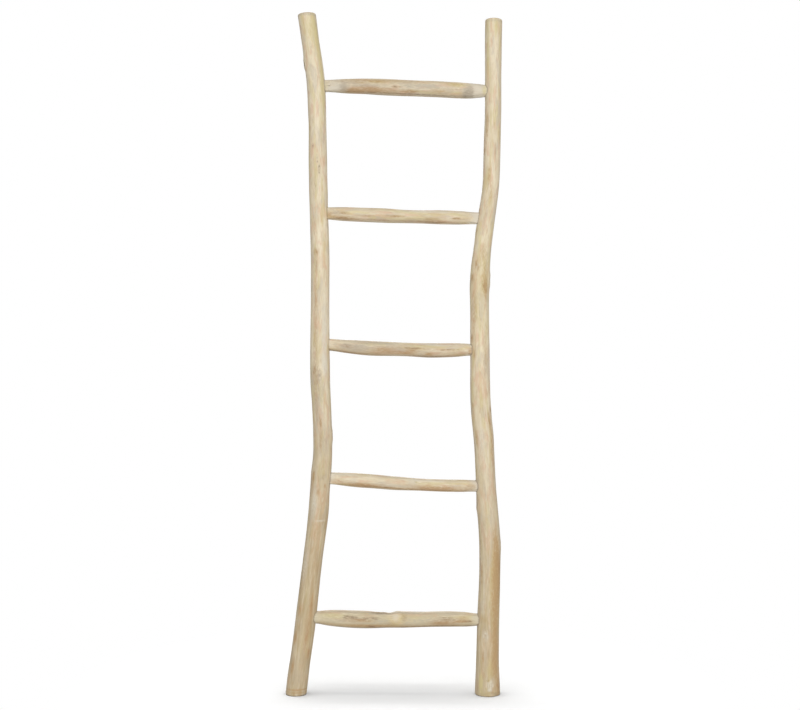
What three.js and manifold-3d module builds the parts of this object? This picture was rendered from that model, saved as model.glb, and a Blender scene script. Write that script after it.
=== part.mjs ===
// A rustic towel ladder. Two peeled branches are the rails and five thinner ones are the rungs. Each rung
// is whittled at both ends to a round tenon, which sits in a blind socket bored in the rail, and a nail
// driven in from behind locks it. Millimetres, +Z up, seen from -Y, with the wall on the +Y side.
import * as THREE from "three";
import { mergeVertices } from "three/addons/utils/BufferGeometryUtils.js";
import Module from "manifold-3d";

const wasm = await Module();
wasm.setup();

// Ladder
const LADDER_HEIGHT = 1500; // floor to the middle of the left rail's sawn top
const RIGHT_RAIL_DROP = 12; // the right rail is sawn off this much lower
const RAIL_SPREAD = 368; // between the straight lines that the two rails sway about
const RAIL_DIAMETER = 42;
const RUNG_DIAMETER = 33;
const BOTTOM_RUNG_HEIGHT = 167; // floor to the bottom rung
const HORN_LENGTH = 164; // top rung to the top of the left rail

// Joints
const TENON_DIAMETER = 26;
const TENON_LENGTH = 24; // how far a tenon reaches into its rail
const TENON_CHAMFER = 1.5;
const WHITTLED_LENGTH = 9; // over which a rung narrows to its tenon
const JOINT_CLEARANCE = 0.3; // all round a tenon and a nail
const NAIL_LENGTH = 25;
const NAIL_DIAMETER = 2.2;
const NAIL_POINT = 3;
const NAIL_HEAD_DIAMETER = 5;
const NAIL_HEAD_THICKNESS = 1.2;
const NAIL_SET = 0.5; // how far its head is sunk below the rail's back

// Surface of the branches
const END_ROUNDING = 3; // worn edge of a sawn end
const RAIL_OVAL = 0.5; // how far a section departs from a circle
const RUNG_OVAL = 0.6;
const OVAL_TURNS = 0.8; // of the oval, from one end of a branch to the other
const TOP_CUT_REACH = 40; // length of rail over which its rings tip to meet the saw cut

// How finely the branches are drawn
const RAIL_SIDES = 18;
const RUNG_SIDES = 16;
const RING_STEP = 20;
const END_RINGS = 3;
const SOCKET_SIDES = 20;
const NAIL_SIDES = 10;

// A rail's stations run from its foot to its top. at is the share of its height, sway and back are how far
// its middle stands off its straight line to the right and to the rear, and swell is added to its width.
// A knot stands proud by rise, facing angle, counted from +X towards +Y in degrees, and fades over reach.
const LEFT_RAIL = {
  side: -1,
  height: LADDER_HEIGHT,
  cutSlope: 0.07, // rise of the top saw cut towards +X
  stations: [
    { at: 0.0, sway: -46.5, back: 0, swell: 4 },
    { at: 0.033, sway: -41, back: 0.5, swell: 3 },
    { at: 0.068, sway: -33, back: 1.2, swell: 2 },
    { at: 0.11, sway: -25, back: 2, swell: 2.5 },
    { at: 0.17, sway: -14.5, back: 3.5, swell: 1.5 },
    { at: 0.227, sway: -4, back: 5, swell: 2 },
    { at: 0.267, sway: 3, back: 6, swell: 4 },
    { at: 0.3, sway: 6, back: 6.5, swell: 2.5 },
    { at: 0.327, sway: 9.5, back: 7, swell: 3 },
    { at: 0.35, sway: 12, back: 7, swell: 1 },
    { at: 0.4, sway: 11.5, back: 6, swell: 0.5 },
    { at: 0.467, sway: 6.5, back: 3.5, swell: 2 },
    { at: 0.52, sway: 6.5, back: 1, swell: 0.5 },
    { at: 0.567, sway: 6.7, back: -1, swell: -1.8 },
    { at: 0.64, sway: 7, back: -4, swell: -2 },
    { at: 0.707, sway: 4.5, back: -5.5, swell: -2.6 },
    { at: 0.78, sway: 2.2, back: -5, swell: -1 },
    { at: 0.827, sway: 1.5, back: -4, swell: -2.3 },
    { at: 0.89, sway: -1.7, back: -2.5, swell: -0.5 },
    { at: 0.923, sway: -6.5, back: -1.5, swell: -0.7 },
    { at: 0.953, sway: -13, back: -0.5, swell: -2.2 },
    { at: 1.0, sway: -23, back: 0, swell: -1.2 },
  ],
  knots: [
    { at: 0.924, angle: 186, rise: 3, reach: 11 }, // cut-off twig outside the horn
    { at: 0.381, angle: -4, rise: 2.6, reach: 10 },
    { at: 0.78, angle: -100, rise: 1.2, reach: 12 },
    { at: 0.467, angle: -118, rise: 1.2, reach: 13 },
    { at: 0.326, angle: -112, rise: 1.6, reach: 16 },
    { at: 0.6, angle: 70, rise: 1.8, reach: 12 },
    { at: 0.2, angle: 110, rise: 1.6, reach: 14 },
  ],
};

const RIGHT_RAIL = {
  side: 1,
  height: LADDER_HEIGHT - RIGHT_RAIL_DROP,
  cutSlope: -0.025,
  stations: [
    { at: 0.0, sway: 8, back: 0, swell: 14 }, // flared foot, sawn where the branch left the trunk
    { at: 0.011, sway: 8, back: 0, swell: 12.5 },
    { at: 0.03, sway: 8, back: -0.5, swell: 9.5 },
    { at: 0.067, sway: 8.5, back: -1, swell: 7.5 },
    { at: 0.112, sway: 9.5, back: -2, swell: 7 },
    { at: 0.168, sway: 12.5, back: -3.5, swell: 5 },
    { at: 0.219, sway: 13.5, back: -5, swell: 6 },
    { at: 0.252, sway: 10.5, back: -5.5, swell: 5.5 },
    { at: 0.283, sway: 7.3, back: -6, swell: 4.3 },
    { at: 0.31, sway: 4.5, back: -6, swell: 3 },
    { at: 0.35, sway: 1.8, back: -5, swell: 2.5 },
    { at: 0.383, sway: -1, back: -4, swell: 3 },
    { at: 0.41, sway: -5, back: -3, swell: 3.5 },
    { at: 0.444, sway: -8, back: -1.5, swell: 2 },
    { at: 0.5, sway: -8.6, back: 1, swell: 0.5 },
    { at: 0.571, sway: -9, back: 3.5, swell: -0.8 },
    { at: 0.604, sway: -9.2, back: 4.5, swell: 1 },
    { at: 0.632, sway: -7.2, back: 5, swell: -0.8 },
    { at: 0.659, sway: -3.2, back: 5.5, swell: -3.2 },
    { at: 0.706, sway: 5.7, back: 6, swell: -4 },
    { at: 0.743, sway: 14.3, back: 5.5, swell: -5 },
    { at: 0.766, sway: 17, back: 5, swell: -4.5 },
    { at: 0.827, sway: 19, back: 3, swell: -4 },
    { at: 0.86, sway: 20.5, back: 2, swell: -5 },
    { at: 0.941, sway: 20.8, back: 0.5, swell: -4.6 },
    { at: 1.0, sway: 22, back: 0, swell: -4.2 },
  ],
  knots: [
    { at: 0.614, angle: -8, rise: 2.4, reach: 13 },
    { at: 0.282, angle: 184, rise: 3, reach: 19 },
    { at: 0.0865, angle: -95, rise: 1.6, reach: 13 },
    { at: 0.686, angle: 180, rise: 1.2, reach: 7 },
    { at: 0.221, angle: -6, rise: 1.2, reach: 14 },
    { at: 0.45, angle: 100, rise: 1.8, reach: 13 },
    { at: 0.83, angle: 75, rise: 1.4, reach: 11 },
  ],
};

// The rungs from the bottom up. left and right lift the two ends above an even spacing. A station's at is
// the share of the clear span between the rails, rise is how far the middle bows up, swell as on a rail.
const RUNGS = [
  {
    left: 2,
    right: -2.5,
    stations: [
      { at: 0.0, rise: 0, swell: -5 },
      { at: 0.04, rise: -0.5, swell: 0.5 },
      { at: 0.1, rise: -1.5, swell: 3 },
      { at: 0.2, rise: -3, swell: 4.3 },
      { at: 0.33, rise: -3.5, swell: 4 },
      { at: 0.44, rise: -3, swell: 1.8 },
      { at: 0.56, rise: -2.2, swell: 4 },
      { at: 0.66, rise: -1.5, swell: 1 },
      { at: 0.8, rise: 0.5, swell: 0.5 },
      { at: 0.93, rise: 0, swell: -2 },
      { at: 1.0, rise: 0, swell: -4 },
    ],
  },
  {
    left: 16,
    right: 0.5,
    stations: [
      { at: 0.0, rise: 0, swell: -6.5 },
      { at: 0.05, rise: -0.3, swell: -4.5 },
      { at: 0.17, rise: -1.5, swell: -2.3 },
      { at: 0.32, rise: -2.2, swell: -3 },
      { at: 0.46, rise: -3.8, swell: -2.8 },
      { at: 0.6, rise: -3.6, swell: -4.3 },
      { at: 0.74, rise: -3.4, swell: -5.6 },
      { at: 0.88, rise: -1.6, swell: -6.5 },
      { at: 1.0, rise: 0, swell: -7 },
    ],
  },
  {
    left: 19.5,
    right: 8,
    stations: [
      { at: 0.0, rise: 0, swell: -5 },
      { at: 0.06, rise: -1.8, swell: -5 },
      { at: 0.14, rise: -3.2, swell: -3.2 },
      { at: 0.27, rise: -4.7, swell: -1.5 },
      { at: 0.42, rise: -4.8, swell: -2.2 },
      { at: 0.56, rise: -4.2, swell: -2 },
      { at: 0.7, rise: -4.6, swell: -0.6 },
      { at: 0.83, rise: -3.2, swell: -1.8 },
      { at: 0.93, rise: -1, swell: -4.5 },
      { at: 1.0, rise: 0, swell: -6.5 },
    ],
  },
  {
    left: 16.3,
    right: 6.5,
    stations: [
      { at: 0.0, rise: 0, swell: -5 },
      { at: 0.1, rise: -0.4, swell: -2.2 },
      { at: 0.26, rise: -0.5, swell: -1.7 },
      { at: 0.4, rise: -1, swell: -2 },
      { at: 0.53, rise: -1.4, swell: -3.4 },
      { at: 0.66, rise: -0.7, swell: -2.5 },
      { at: 0.79, rise: 0, swell: -1.8 },
      { at: 0.88, rise: 0, swell: -4.5 },
      { at: 1.0, rise: 0, swell: -6.5 },
    ],
  },
  {
    left: 5,
    right: -5,
    stations: [
      { at: 0.0, rise: 0, swell: -6.5 },
      { at: 0.055, rise: 0.7, swell: -3.2 },
      { at: 0.11, rise: 1.2, swell: -0.8 },
      { at: 0.2, rise: 2, swell: 0 },
      { at: 0.33, rise: 2.2, swell: 1.5 },
      { at: 0.5, rise: 1.2, swell: 2.2 },
      { at: 0.7, rise: 0.8, swell: 3 },
      { at: 0.82, rise: 0, swell: 2 },
      { at: 0.92, rise: -0.8, swell: -1 },
      { at: 1.0, rise: 0, swell: -5 },
    ],
  },
];

const sapwood = new THREE.MeshStandardMaterial({ color: 0xdfcda8, roughness: 0.75, metalness: 0 });
const darkerSapwood = new THREE.MeshStandardMaterial({ color: 0xd2bd95, roughness: 0.75, metalness: 0 });
const steel = new THREE.MeshStandardMaterial({ color: 0x9c9a96, roughness: 0.4, metalness: 1 });

// One size of a branch between its stations, on a smooth curve through all of them.
function sizeAt(stations, at, size) {
  const last = stations.length - 1;
  const slopeAt = (k) => {
    const before = stations[Math.max(k - 1, 0)];
    const after = stations[Math.min(k + 1, last)];
    return (after[size] - before[size]) / (after.at - before.at);
  };
  let i = 0;
  while (i < last - 1 && at > stations[i + 1].at) i++;
  const from = stations[i];
  const to = stations[i + 1];
  const gap = to.at - from.at;
  const t = (at - from.at) / gap;
  return (
    from[size] * (1 + 2 * t) * (1 - t) ** 2 +
    slopeAt(i) * gap * t * (1 - t) ** 2 +
    to[size] * (3 - 2 * t) * t ** 2 -
    slopeAt(i + 1) * gap * (1 - t) * t ** 2
  );
}

// A closed solid through rings of points, all with as many points, wound to face outwards.
function loft(rings) {
  const sides = rings[0].length;
  const points = rings.flat();
  const faces = [];
  for (let r = 0; r < rings.length - 1; r++) {
    for (let s = 0; s < sides; s++) {
      const a = r * sides + s;
      const b = r * sides + ((s + 1) % sides);
      faces.push(a, b, b + sides, a, b + sides, a + sides);
    }
  }
  const middleOf = (ring) => ring.reduce((sum, p) => sum.add(p), new THREE.Vector3()).divideScalar(sides);
  const start = points.push(middleOf(rings[0])) - 1;
  const end = points.push(middleOf(rings.at(-1))) - 1;
  const lastRing = (rings.length - 1) * sides;
  for (let s = 0; s < sides; s++) {
    const next = (s + 1) % sides;
    faces.push(start, next, s, end, lastRing + s, lastRing + next);
  }
  const geometry = new THREE.BufferGeometry().setFromPoints(points);
  geometry.setIndex(faces);
  return geometry;
}

function solidOf(geometry) {
  const bare = geometry.clone();
  bare.deleteAttribute("normal");
  bare.deleteAttribute("uv");
  const closed = mergeVertices(bare);
  const vertProperties = closed.attributes.position.array;
  const triVerts = new Uint32Array(closed.index.array);
  return new wasm.Manifold(new wasm.Mesh({ numProp: 3, vertProperties, triVerts }));
}

function geometryOf(solid) {
  const { vertProperties, triVerts } = solid.getMesh();
  const geometry = new THREE.BufferGeometry();
  geometry.setAttribute("position", new THREE.BufferAttribute(vertProperties, 3));
  geometry.setIndex(new THREE.BufferAttribute(triVerts, 1));
  geometry.computeVertexNormals();
  return geometry;
}

function bored(geometry, drills) {
  return geometryOf(drills.reduce((solid, drill) => solid.subtract(solidOf(drill)), solidOf(geometry)));
}

// A drill from one point to another, whose flats lie at the given radius.
function drill(radius, from, to, sides) {
  const way = new THREE.Vector3().subVectors(to, from);
  const corner = radius / Math.cos(Math.PI / sides);
  const geometry = new THREE.CylinderGeometry(corner, corner, way.length(), sides);
  const turn = new THREE.Quaternion().setFromUnitVectors(new THREE.Vector3(0, 1, 0), way.clone().normalize());
  geometry.applyQuaternion(turn);
  return geometry.translate(...from.clone().addScaledVector(way, 0.5));
}

// How far the worn edge of a sawn end takes a ring in, and how far up it lies, for each of its rings.
function endRings(rounding) {
  return Array.from({ length: END_RINGS }, (_, k) => {
    const phi = (k / (END_RINGS - 1)) * (Math.PI / 2);
    return { inset: rounding * (1 - Math.sin(phi)), up: rounding * (1 - Math.cos(phi)) };
  });
}

// The middle of a rail at a height above the floor.
function railMiddle(rail, height) {
  const at = height / rail.height;
  const x = (rail.side * RAIL_SPREAD) / 2 + sizeAt(rail.stations, at, "sway");
  return new THREE.Vector3(x, sizeAt(rail.stations, at, "back"), height);
}

// The radius of a rail at a height and an angle from +X: its width, its slow oval and its knots.
function railRadius(rail, height, angle) {
  const at = height / rail.height;
  const round = (RAIL_DIAMETER + sizeAt(rail.stations, at, "swell")) / 2;
  const oval = RAIL_OVAL * Math.cos(2 * (angle - 2 * Math.PI * OVAL_TURNS * at));
  const proud = rail.knots.reduce((sum, knot) => {
    const apart = Math.abs(angle - THREE.MathUtils.degToRad(knot.angle)) % (2 * Math.PI);
    const across = round * Math.min(apart, 2 * Math.PI - apart);
    const along = height - knot.at * rail.height;
    return sum + knot.rise * Math.exp(-(across ** 2 + along ** 2) / knot.reach ** 2);
  }, 0);
  return round + oval + proud;
}

// One ring of a rail. Near the top it tips over to the slope of the saw cut.
function railRing(rail, height, inset) {
  const middle = railMiddle(rail, height);
  const tip = rail.cutSlope * Math.max(0, 1 - (rail.height - height) / TOP_CUT_REACH);
  return Array.from({ length: RAIL_SIDES }, (_, s) => {
    const angle = (2 * Math.PI * s) / RAIL_SIDES;
    const radius = railRadius(rail, height, angle) - inset;
    const x = radius * Math.cos(angle);
    return new THREE.Vector3(middle.x + x, middle.y + radius * Math.sin(angle), height + tip * x);
  });
}

function railBody(rail) {
  const foot = endRings(END_ROUNDING);
  const top = foot.map(({ inset, up }) => ({ inset, up: rail.height - up })).reverse();
  const first = END_ROUNDING * 2;
  const length = rail.height - 2 * first;
  const steps = Math.round(length / RING_STEP);
  const between = Array.from({ length: steps + 1 }, (_, k) => ({ inset: 0, up: first + (k / steps) * length }));
  return loft([...foot, ...between, ...top].map(({ inset, up }) => railRing(rail, up, inset)));
}

// Where the tenon of a rung meets the inner face of a rail.
function seatOn(rail, height) {
  const inward = rail.side < 0 ? 0 : Math.PI;
  const seat = railMiddle(rail, height);
  seat.x -= rail.side * railRadius(rail, height, inward);
  return seat;
}

// How far the inner face of a rail stands proud of a seat within reach of it, up or down.
function proudOf(rail, height, reach) {
  const seat = seatOn(rail, height);
  const samples = 8;
  const stands = Array.from({ length: samples + 1 }, (_, k) => {
    const near = seatOn(rail, height + reach * ((2 * k) / samples - 1));
    return -rail.side * (near.x - seat.x);
  });
  return Math.max(...stands);
}

// The line of a rung: its two seats, its direction and how far its full width stays clear of each seat.
function rungLine(rung, index) {
  const pitch = (LADDER_HEIGHT - HORN_LENGTH - BOTTOM_RUNG_HEIGHT) / (RUNGS.length - 1);
  const even = BOTTOM_RUNG_HEIGHT + index * pitch;
  const seats = [seatOn(LEFT_RAIL, even + rung.left), seatOn(RIGHT_RAIL, even + rung.right)];
  const way = new THREE.Vector3().subVectors(seats[1], seats[0]);
  const clear = [LEFT_RAIL, RIGHT_RAIL].map((rail, end) => {
    const reach = (RUNG_DIAMETER + sizeAt(rung.stations, end, "swell")) / 2;
    return proudOf(rail, seats[end].z, reach) + JOINT_CLEARANCE;
  });
  return { seats, clear, span: way.length(), along: way.normalize() };
}

// One ring of a rung in its own frame, whose +X runs along it from the left seat.
function rungRing(x, rise, radiusAt) {
  return Array.from({ length: RUNG_SIDES }, (_, s) => {
    const angle = (2 * Math.PI * s) / RUNG_SIDES;
    const radius = radiusAt(angle);
    return new THREE.Vector3(x, radius * Math.cos(angle), rise + radius * Math.sin(angle));
  });
}

function rungBody(rung, line) {
  const tenon = TENON_DIAMETER / 2;
  const start = line.clear[0];
  const end = line.span - line.clear[1];
  const tenonRing = (x, radius) => rungRing(x, 0, () => radius);
  // fullness runs from 0, as thin as the tenon, to 1, as thick as the branch.
  const bodyRing = (x, fullness) => {
    const at = (x - start) / (end - start);
    const round = (RUNG_DIAMETER + sizeAt(rung.stations, at, "swell")) / 2;
    const radiusAt = (angle) => {
      const full = round + RUNG_OVAL * Math.cos(2 * (angle - 2 * Math.PI * OVAL_TURNS * at));
      return tenon + fullness * (full - tenon);
    };
    return rungRing(x, fullness * sizeAt(rung.stations, at, "rise"), radiusAt);
  };
  const whittled = [1 / 4, 1 / 2, 3 / 4].map((share) => ({
    x: WHITTLED_LENGTH * share,
    fullness: (1 - Math.cos(Math.PI * share)) / 2,
  }));
  const length = end - start - 2 * WHITTLED_LENGTH;
  const steps = Math.round(length / RING_STEP);
  const between = Array.from({ length: steps + 1 }, (_, k) => start + WHITTLED_LENGTH + (k / steps) * length);
  return loft([
    tenonRing(-TENON_LENGTH, tenon - TENON_CHAMFER),
    tenonRing(-TENON_LENGTH + TENON_CHAMFER, tenon),
    tenonRing(start, tenon),
    ...whittled.map(({ x, fullness }) => bodyRing(start + x, fullness)),
    ...between.map((x) => bodyRing(x, 1)),
    ...whittled.toReversed().map(({ x, fullness }) => bodyRing(end - x, fullness)),
    tenonRing(end, tenon),
    tenonRing(line.span + TENON_LENGTH - TENON_CHAMFER, tenon),
    tenonRing(line.span + TENON_LENGTH, tenon - TENON_CHAMFER),
  ]);
}

// The direction in which one end of a rung enters its rail.
function outwardOf(line, end) {
  return line.along.clone().multiplyScalar(end === 0 ? -1 : 1);
}

function socket(line, end) {
  const mouth = line.seats[end].clone().addScaledVector(outwardOf(line, end), -TENON_DIAMETER);
  const floor = line.seats[end].clone().addScaledVector(outwardOf(line, end), TENON_LENGTH + JOINT_CLEARANCE);
  return drill(TENON_DIAMETER / 2 + JOINT_CLEARANCE, mouth, floor, SOCKET_SIDES);
}

// The top of the nail's head at one end of a rung, just under the rail's back and half way along the tenon.
function nailHead(line, end) {
  const rail = end === 0 ? LEFT_RAIL : RIGHT_RAIL;
  const head = line.seats[end].clone().addScaledVector(outwardOf(line, end), TENON_LENGTH / 2);
  const middle = railMiddle(rail, head.z);
  const off = head.x - middle.x;
  const angle = Math.acos(off / railRadius(rail, head.z, Math.PI / 2));
  head.y = middle.y + Math.sqrt(railRadius(rail, head.z, angle) ** 2 - off ** 2) - NAIL_SET;
  return head;
}

// The hole of a nail: a pocket that takes its head and a narrower bore that takes its shank.
function nailHole(head) {
  const level = (depth) => head.clone().setY(head.y - depth);
  const outside = level(-RAIL_DIAMETER / 2);
  const pocketFloor = level(NAIL_HEAD_THICKNESS + JOINT_CLEARANCE);
  const bottom = level(NAIL_LENGTH + JOINT_CLEARANCE);
  return [
    drill(NAIL_HEAD_DIAMETER / 2 + JOINT_CLEARANCE, outside, pocketFloor, NAIL_SIDES),
    drill(NAIL_DIAMETER / 2 + JOINT_CLEARANCE, outside, bottom, NAIL_SIDES),
  ];
}

// A nail along Y, with the top of its head at the origin and its point towards -Y.
function nailGeometry() {
  const outline = [
    [0, -NAIL_LENGTH],
    [NAIL_DIAMETER / 2, -NAIL_LENGTH + NAIL_POINT],
    [NAIL_DIAMETER / 2, -NAIL_HEAD_THICKNESS],
    [NAIL_HEAD_DIAMETER / 2, -NAIL_HEAD_THICKNESS],
    [NAIL_HEAD_DIAMETER / 2, 0],
    [0, 0],
  ];
  return new THREE.LatheGeometry(outline.map(([x, y]) => new THREE.Vector2(x, y)), NAIL_SIDES);
}

function piece(name, geometry, material) {
  const mesh = new THREE.Mesh(geometry, material);
  mesh.name = name;
  return mesh;
}

const lines = RUNGS.map(rungLine);

function railPiece(name, rail, end) {
  const cuts = lines.flatMap((line) => [socket(line, end), ...nailHole(nailHead(line, end))]);
  return piece(name, bored(railBody(rail), cuts), sapwood);
}

function rungPiece(name, rung, line) {
  const mesh = piece(name, rungBody(rung, line), darkerSapwood);
  mesh.position.copy(line.seats[0]);
  mesh.quaternion.setFromUnitVectors(new THREE.Vector3(1, 0, 0), line.along);
  mesh.updateMatrix();
  const toRung = mesh.matrix.clone().invert();
  const holes = [0, 1].flatMap((end) => nailHole(nailHead(line, end)));
  mesh.geometry = bored(mesh.geometry, holes.map((hole) => hole.applyMatrix4(toRung)));
  return mesh;
}

function nailPiece(name, head) {
  const mesh = piece(name, nailGeometry(), steel);
  mesh.position.copy(head);
  return mesh;
}

const ladder = new THREE.Group();
ladder.add(railPiece("rail_left", LEFT_RAIL, 0), railPiece("rail_right", RIGHT_RAIL, 1));
lines.forEach((line, index) => {
  const number = index + 1;
  ladder.add(rungPiece(`rung_${number}`, RUNGS[index], line));
  ladder.add(nailPiece(`nail_${number}_left`, nailHead(line, 0)));
  ladder.add(nailPiece(`nail_${number}_right`, nailHead(line, 1)));
});

// The ladder stands on the floor with the middle of its box over the origin.
const box = new THREE.Box3().setFromObject(ladder, true);
const centre = box.getCenter(new THREE.Vector3());
ladder.position.set(-centre.x, -centre.y, -box.min.z);

export default ladder;
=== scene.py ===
"""A rustic towel ladder: two peeled branches as rails, five whittled rungs, and the nails that lock them.

Each branch is worked out as a surface of two parameters, the level along the branch and the angle round
it, around the middle and the radius that are read back from its CAD solid. Sizes here are in millimetres,
and points become metres when they go into a mesh.
"""

import math

import bpy
import numpy as np
from bpy.props import FloatProperty, FloatVectorProperty, IntProperty, PointerProperty
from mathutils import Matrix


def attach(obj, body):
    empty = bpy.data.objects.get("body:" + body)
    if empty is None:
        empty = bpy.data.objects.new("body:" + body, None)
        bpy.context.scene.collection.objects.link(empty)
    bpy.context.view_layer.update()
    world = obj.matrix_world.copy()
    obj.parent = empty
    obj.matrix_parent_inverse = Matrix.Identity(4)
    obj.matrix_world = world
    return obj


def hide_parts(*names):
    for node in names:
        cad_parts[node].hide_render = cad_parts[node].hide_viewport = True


bl_info = {
    "name": "Towel ladder",
    "version": (1, 0, 0),
    "blender": (4, 5, 0),
    "location": "View3D > Sidebar > Ladder",
    "description": "A peeled-branch towel ladder with whittled rungs",
    "category": "Add Mesh",
}

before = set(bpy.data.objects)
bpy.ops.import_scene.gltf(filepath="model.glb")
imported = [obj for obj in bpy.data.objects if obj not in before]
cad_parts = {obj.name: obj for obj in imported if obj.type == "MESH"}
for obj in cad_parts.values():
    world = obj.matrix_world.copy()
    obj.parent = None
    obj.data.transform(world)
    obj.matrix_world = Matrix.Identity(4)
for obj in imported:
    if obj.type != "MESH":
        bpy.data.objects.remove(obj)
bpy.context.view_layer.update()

MM = 0.001
TURN = 2 * math.pi
BODY = "root"
X, Y, Z = 0, 1, 2
WHITE = (1, 1, 1, 1)
RUNG_COUNT = sum(name.startswith("rung_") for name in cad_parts)
SIDES = ("left", "right")

# How a branch is read back from its solid. The spreads, in slices and columns, smooth what is read.
SLICE_STEP = 5
END_SKIP = 6
ROUND_ENOUGH = 1.0
DEEPEST_DENT = 0.7
TALLEST_BUMP = 5.0
BUMP_COLUMNS = 36
CENTRE_SPREAD = 2.0
BUMP_SPREAD = 1.2

# The fit of a circle to a slice: the share of its radius past which points lie at its top and bottom, and
# how often it is fitted again
POLE_SHARE = 0.95
CIRCLE_FITS = 4

# Ripples in the wood: their step along the branch, and how many go round it
FLUTES = (150, 9)
LUMPS = (38, 5)
FIBRES = (26, 44)

# How far the grain of each branch is moved on along it, so that no two branches look alike
GRAIN_SHIFT = 500

# Knots, in sizes of their eye: its length, the height, distance and width of its collar, the depth and
# width of its hollow, how much and how far off the fibres bow round it, and a distance with no knot near
EYE_LENGTH = 1.5
COLLAR_HEIGHT, COLLAR_PLACE, COLLAR_WIDTH = 0.07, 1.1, 0.45
EYE_DEPTH, EYE_WIDTH = 0.16, 0.7
BOW, BOW_REACH = 0.8, 1.9
NO_KNOT = 9.0

# Whittling: how far the front cut lifts beyond its own depth, how far a flat lifts in depths of it and
# between which shares of its length, the part of that depth that a tenon loses, how far a flat's facing,
# length and depth vary, and the smallest cosine at which a plane still cuts
FRONT_LIFT = 4
FLAT_LIFT, LIFT_START, LIFT_END = 2.2, 0.35, 1.25
TENON_SHARE = 0.25
FACING_RANGE, RUN_RANGE, DEPTH_RANGE = (-0.22, 0.22), (0.6, 1.25), (0.6, 1.2)
STEEPEST = 0.3

# A rung's step between rows, as a share of a rail's, and the distances from its seat between which its
# relief comes in
RUNG_STEP = 0.8
RELIEF_START, RELIEF_END = 1, 7

# Sawn wood: how near it is to a rail's end, in sizes of its worn edge, and to a rung's, in millimetres,
# and the share of the radius inside which a bore shows it
RAIL_SAWN, RUNG_SAWN = 0.6, 0.5
RAIL_BORED, RUNG_BORED = 0.8, 0.45

# The bare wood of a rung's end: how far its edge fades outwards and inwards, and how ragged it is, with
# the seed of those ripples, their step along the rung and how many go round it
FADE_OUT, FADE_IN, RAGGED = 12, 6, 9
RAGGED_EDGE = 41, (26, 9)

# A rung's skin and painted shade: how much of it comes from patches of skin and how much from lying
# underneath, where the darker skin is painted shade as well, how much of it the whittling takes off, the
# patches' seed and ripples, and the sines of the angle where the underside starts and is full
SKIN_PATCHES, SKIN_BELOW_AND_SHADE, SKIN_SHAVED = 0.45, 0.85, 0.85
PATCHES = 43, (46, 6)
UNDERSIDE = (0.25, -0.9)

# How near a joint its dark line is darkest. The line is partly the joint's own dark gap and partly painted
# shade in the crease between the parts.
JOINT_DARKEST = 0.2

# Rings on the face and round the edge of a sawn end
RAIL_END_RINGS = (14, 5)
TENON_END_RINGS = (6, 3)

# Saw marks: the turn of their wave for a millimetre across them, how far they sway, and the turn of that
RIDGES, RIDGE_SWAY, RIDGE_BEND = 2.4, 0.6, 0.4

# How far the floor reaches from the ladder
FLOOR_REACH = 6000

# The lamps: name, shape, place, height that they face, length and width, all in metres, whether the floor
# is the one thing that they light or the one that they don't, their setting, and their share of its power
LAMPS = (
    ("front_lamp", "RECTANGLE", (0.42, -4.2, 1.95), 0.75, 2.2, 2.2, "EXCLUDE", "front_power", 1.0),
    ("back_lamp", "RECTANGLE", (0, 4.1, 2.0), 0.75, 1.6, 1.6, "EXCLUDE", "back_power", 1.0),
    ("floor_lamp_narrow", "ELLIPSE", (0, 0, 2.4), 0, 1.8, 0.8, "INCLUDE", "floor_power", 0.36),
    ("floor_lamp_wide", "ELLIPSE", (0, 0, 2.4), 0, 2.6, 2.6, "INCLUDE", "floor_power", 0.64),
)

# Edges that turn more than this stay sharp, in degrees
SHARP_EDGE = 42

# Lengths of the shapes that cut a socket and a nail's hole, and how many sides they have
SOCKET_DRILL, SOCKET_SIDES = 70, 96
NAIL_DRILL, POCKET_SIDES, BORE_SIDES = 15, 40, 24

# A nail: the thickness of its head, the dome's share of the head's width, how far the dome and the rim
# drop, the length of the point, and the points round it
HEAD_THICKNESS = 1.2
DOME_SHARE, DOME_DROP, RIM_DROP = 0.86, 0.35, 0.4
POINT_LENGTH = 3
NAIL_SIDES = 48

# Fibres: their width and length in millimetres, the seed of their noise, and the values of it between
# which they come in, where those aren't the group's own
FINE = (1.0, 22.0, 3.0)
BROKEN = (2.4, 17.0, 7.0, 0.25, 0.75)
DASHES = (1.5, 8.0, 9.0, 0.3, 0.7)
PORES = (0.35, 4.0, 61.0, 0.6, 0.72)
BROAD = (12.0, 66.0, 11.0)
CLOUDS = (5.0, 60.0, 51.0)

# The finer streaks: how much they show, their width, length, seed and values as above, and their colour
STREAKS = (
    (0.62, 9.0, 36.0, 21.0, 0.5, 0.62, "peach"),
    (0.5, 10.0, 80.0, 31.0, 0.52, 0.62, "yellow"),
    (0.65, 12.0, 52.0, 41.0, 0.52, 0.64, "grey"),
    (0.3, 3.4, 24.0, 46.0, 0.55, 0.7, "brown"),
    (0.4, 3.0, 18.0, 49.0, 0.56, 0.7, "pale"),
)

# A knot's rings and eye: how ragged they are, the turn of the rings' wave for one eye size, and where the
# rings and the eye fade out and are full
KNOT_RAGGED, KNOT_WAVE, RINGS_FADE, EYE_FADE = 0.45, 11.0, (2.6, 0.9), (1.15, 0.55)

# End grain: the scale and height of the wobble of its rings, the turn of their wave for a millimetre, and
# how fine its rays are
WOBBLE_SCALE, WOBBLE, RING_WAVE, RAY_SCALE = 0.12, 5.0, 3.1, 14.0

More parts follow.
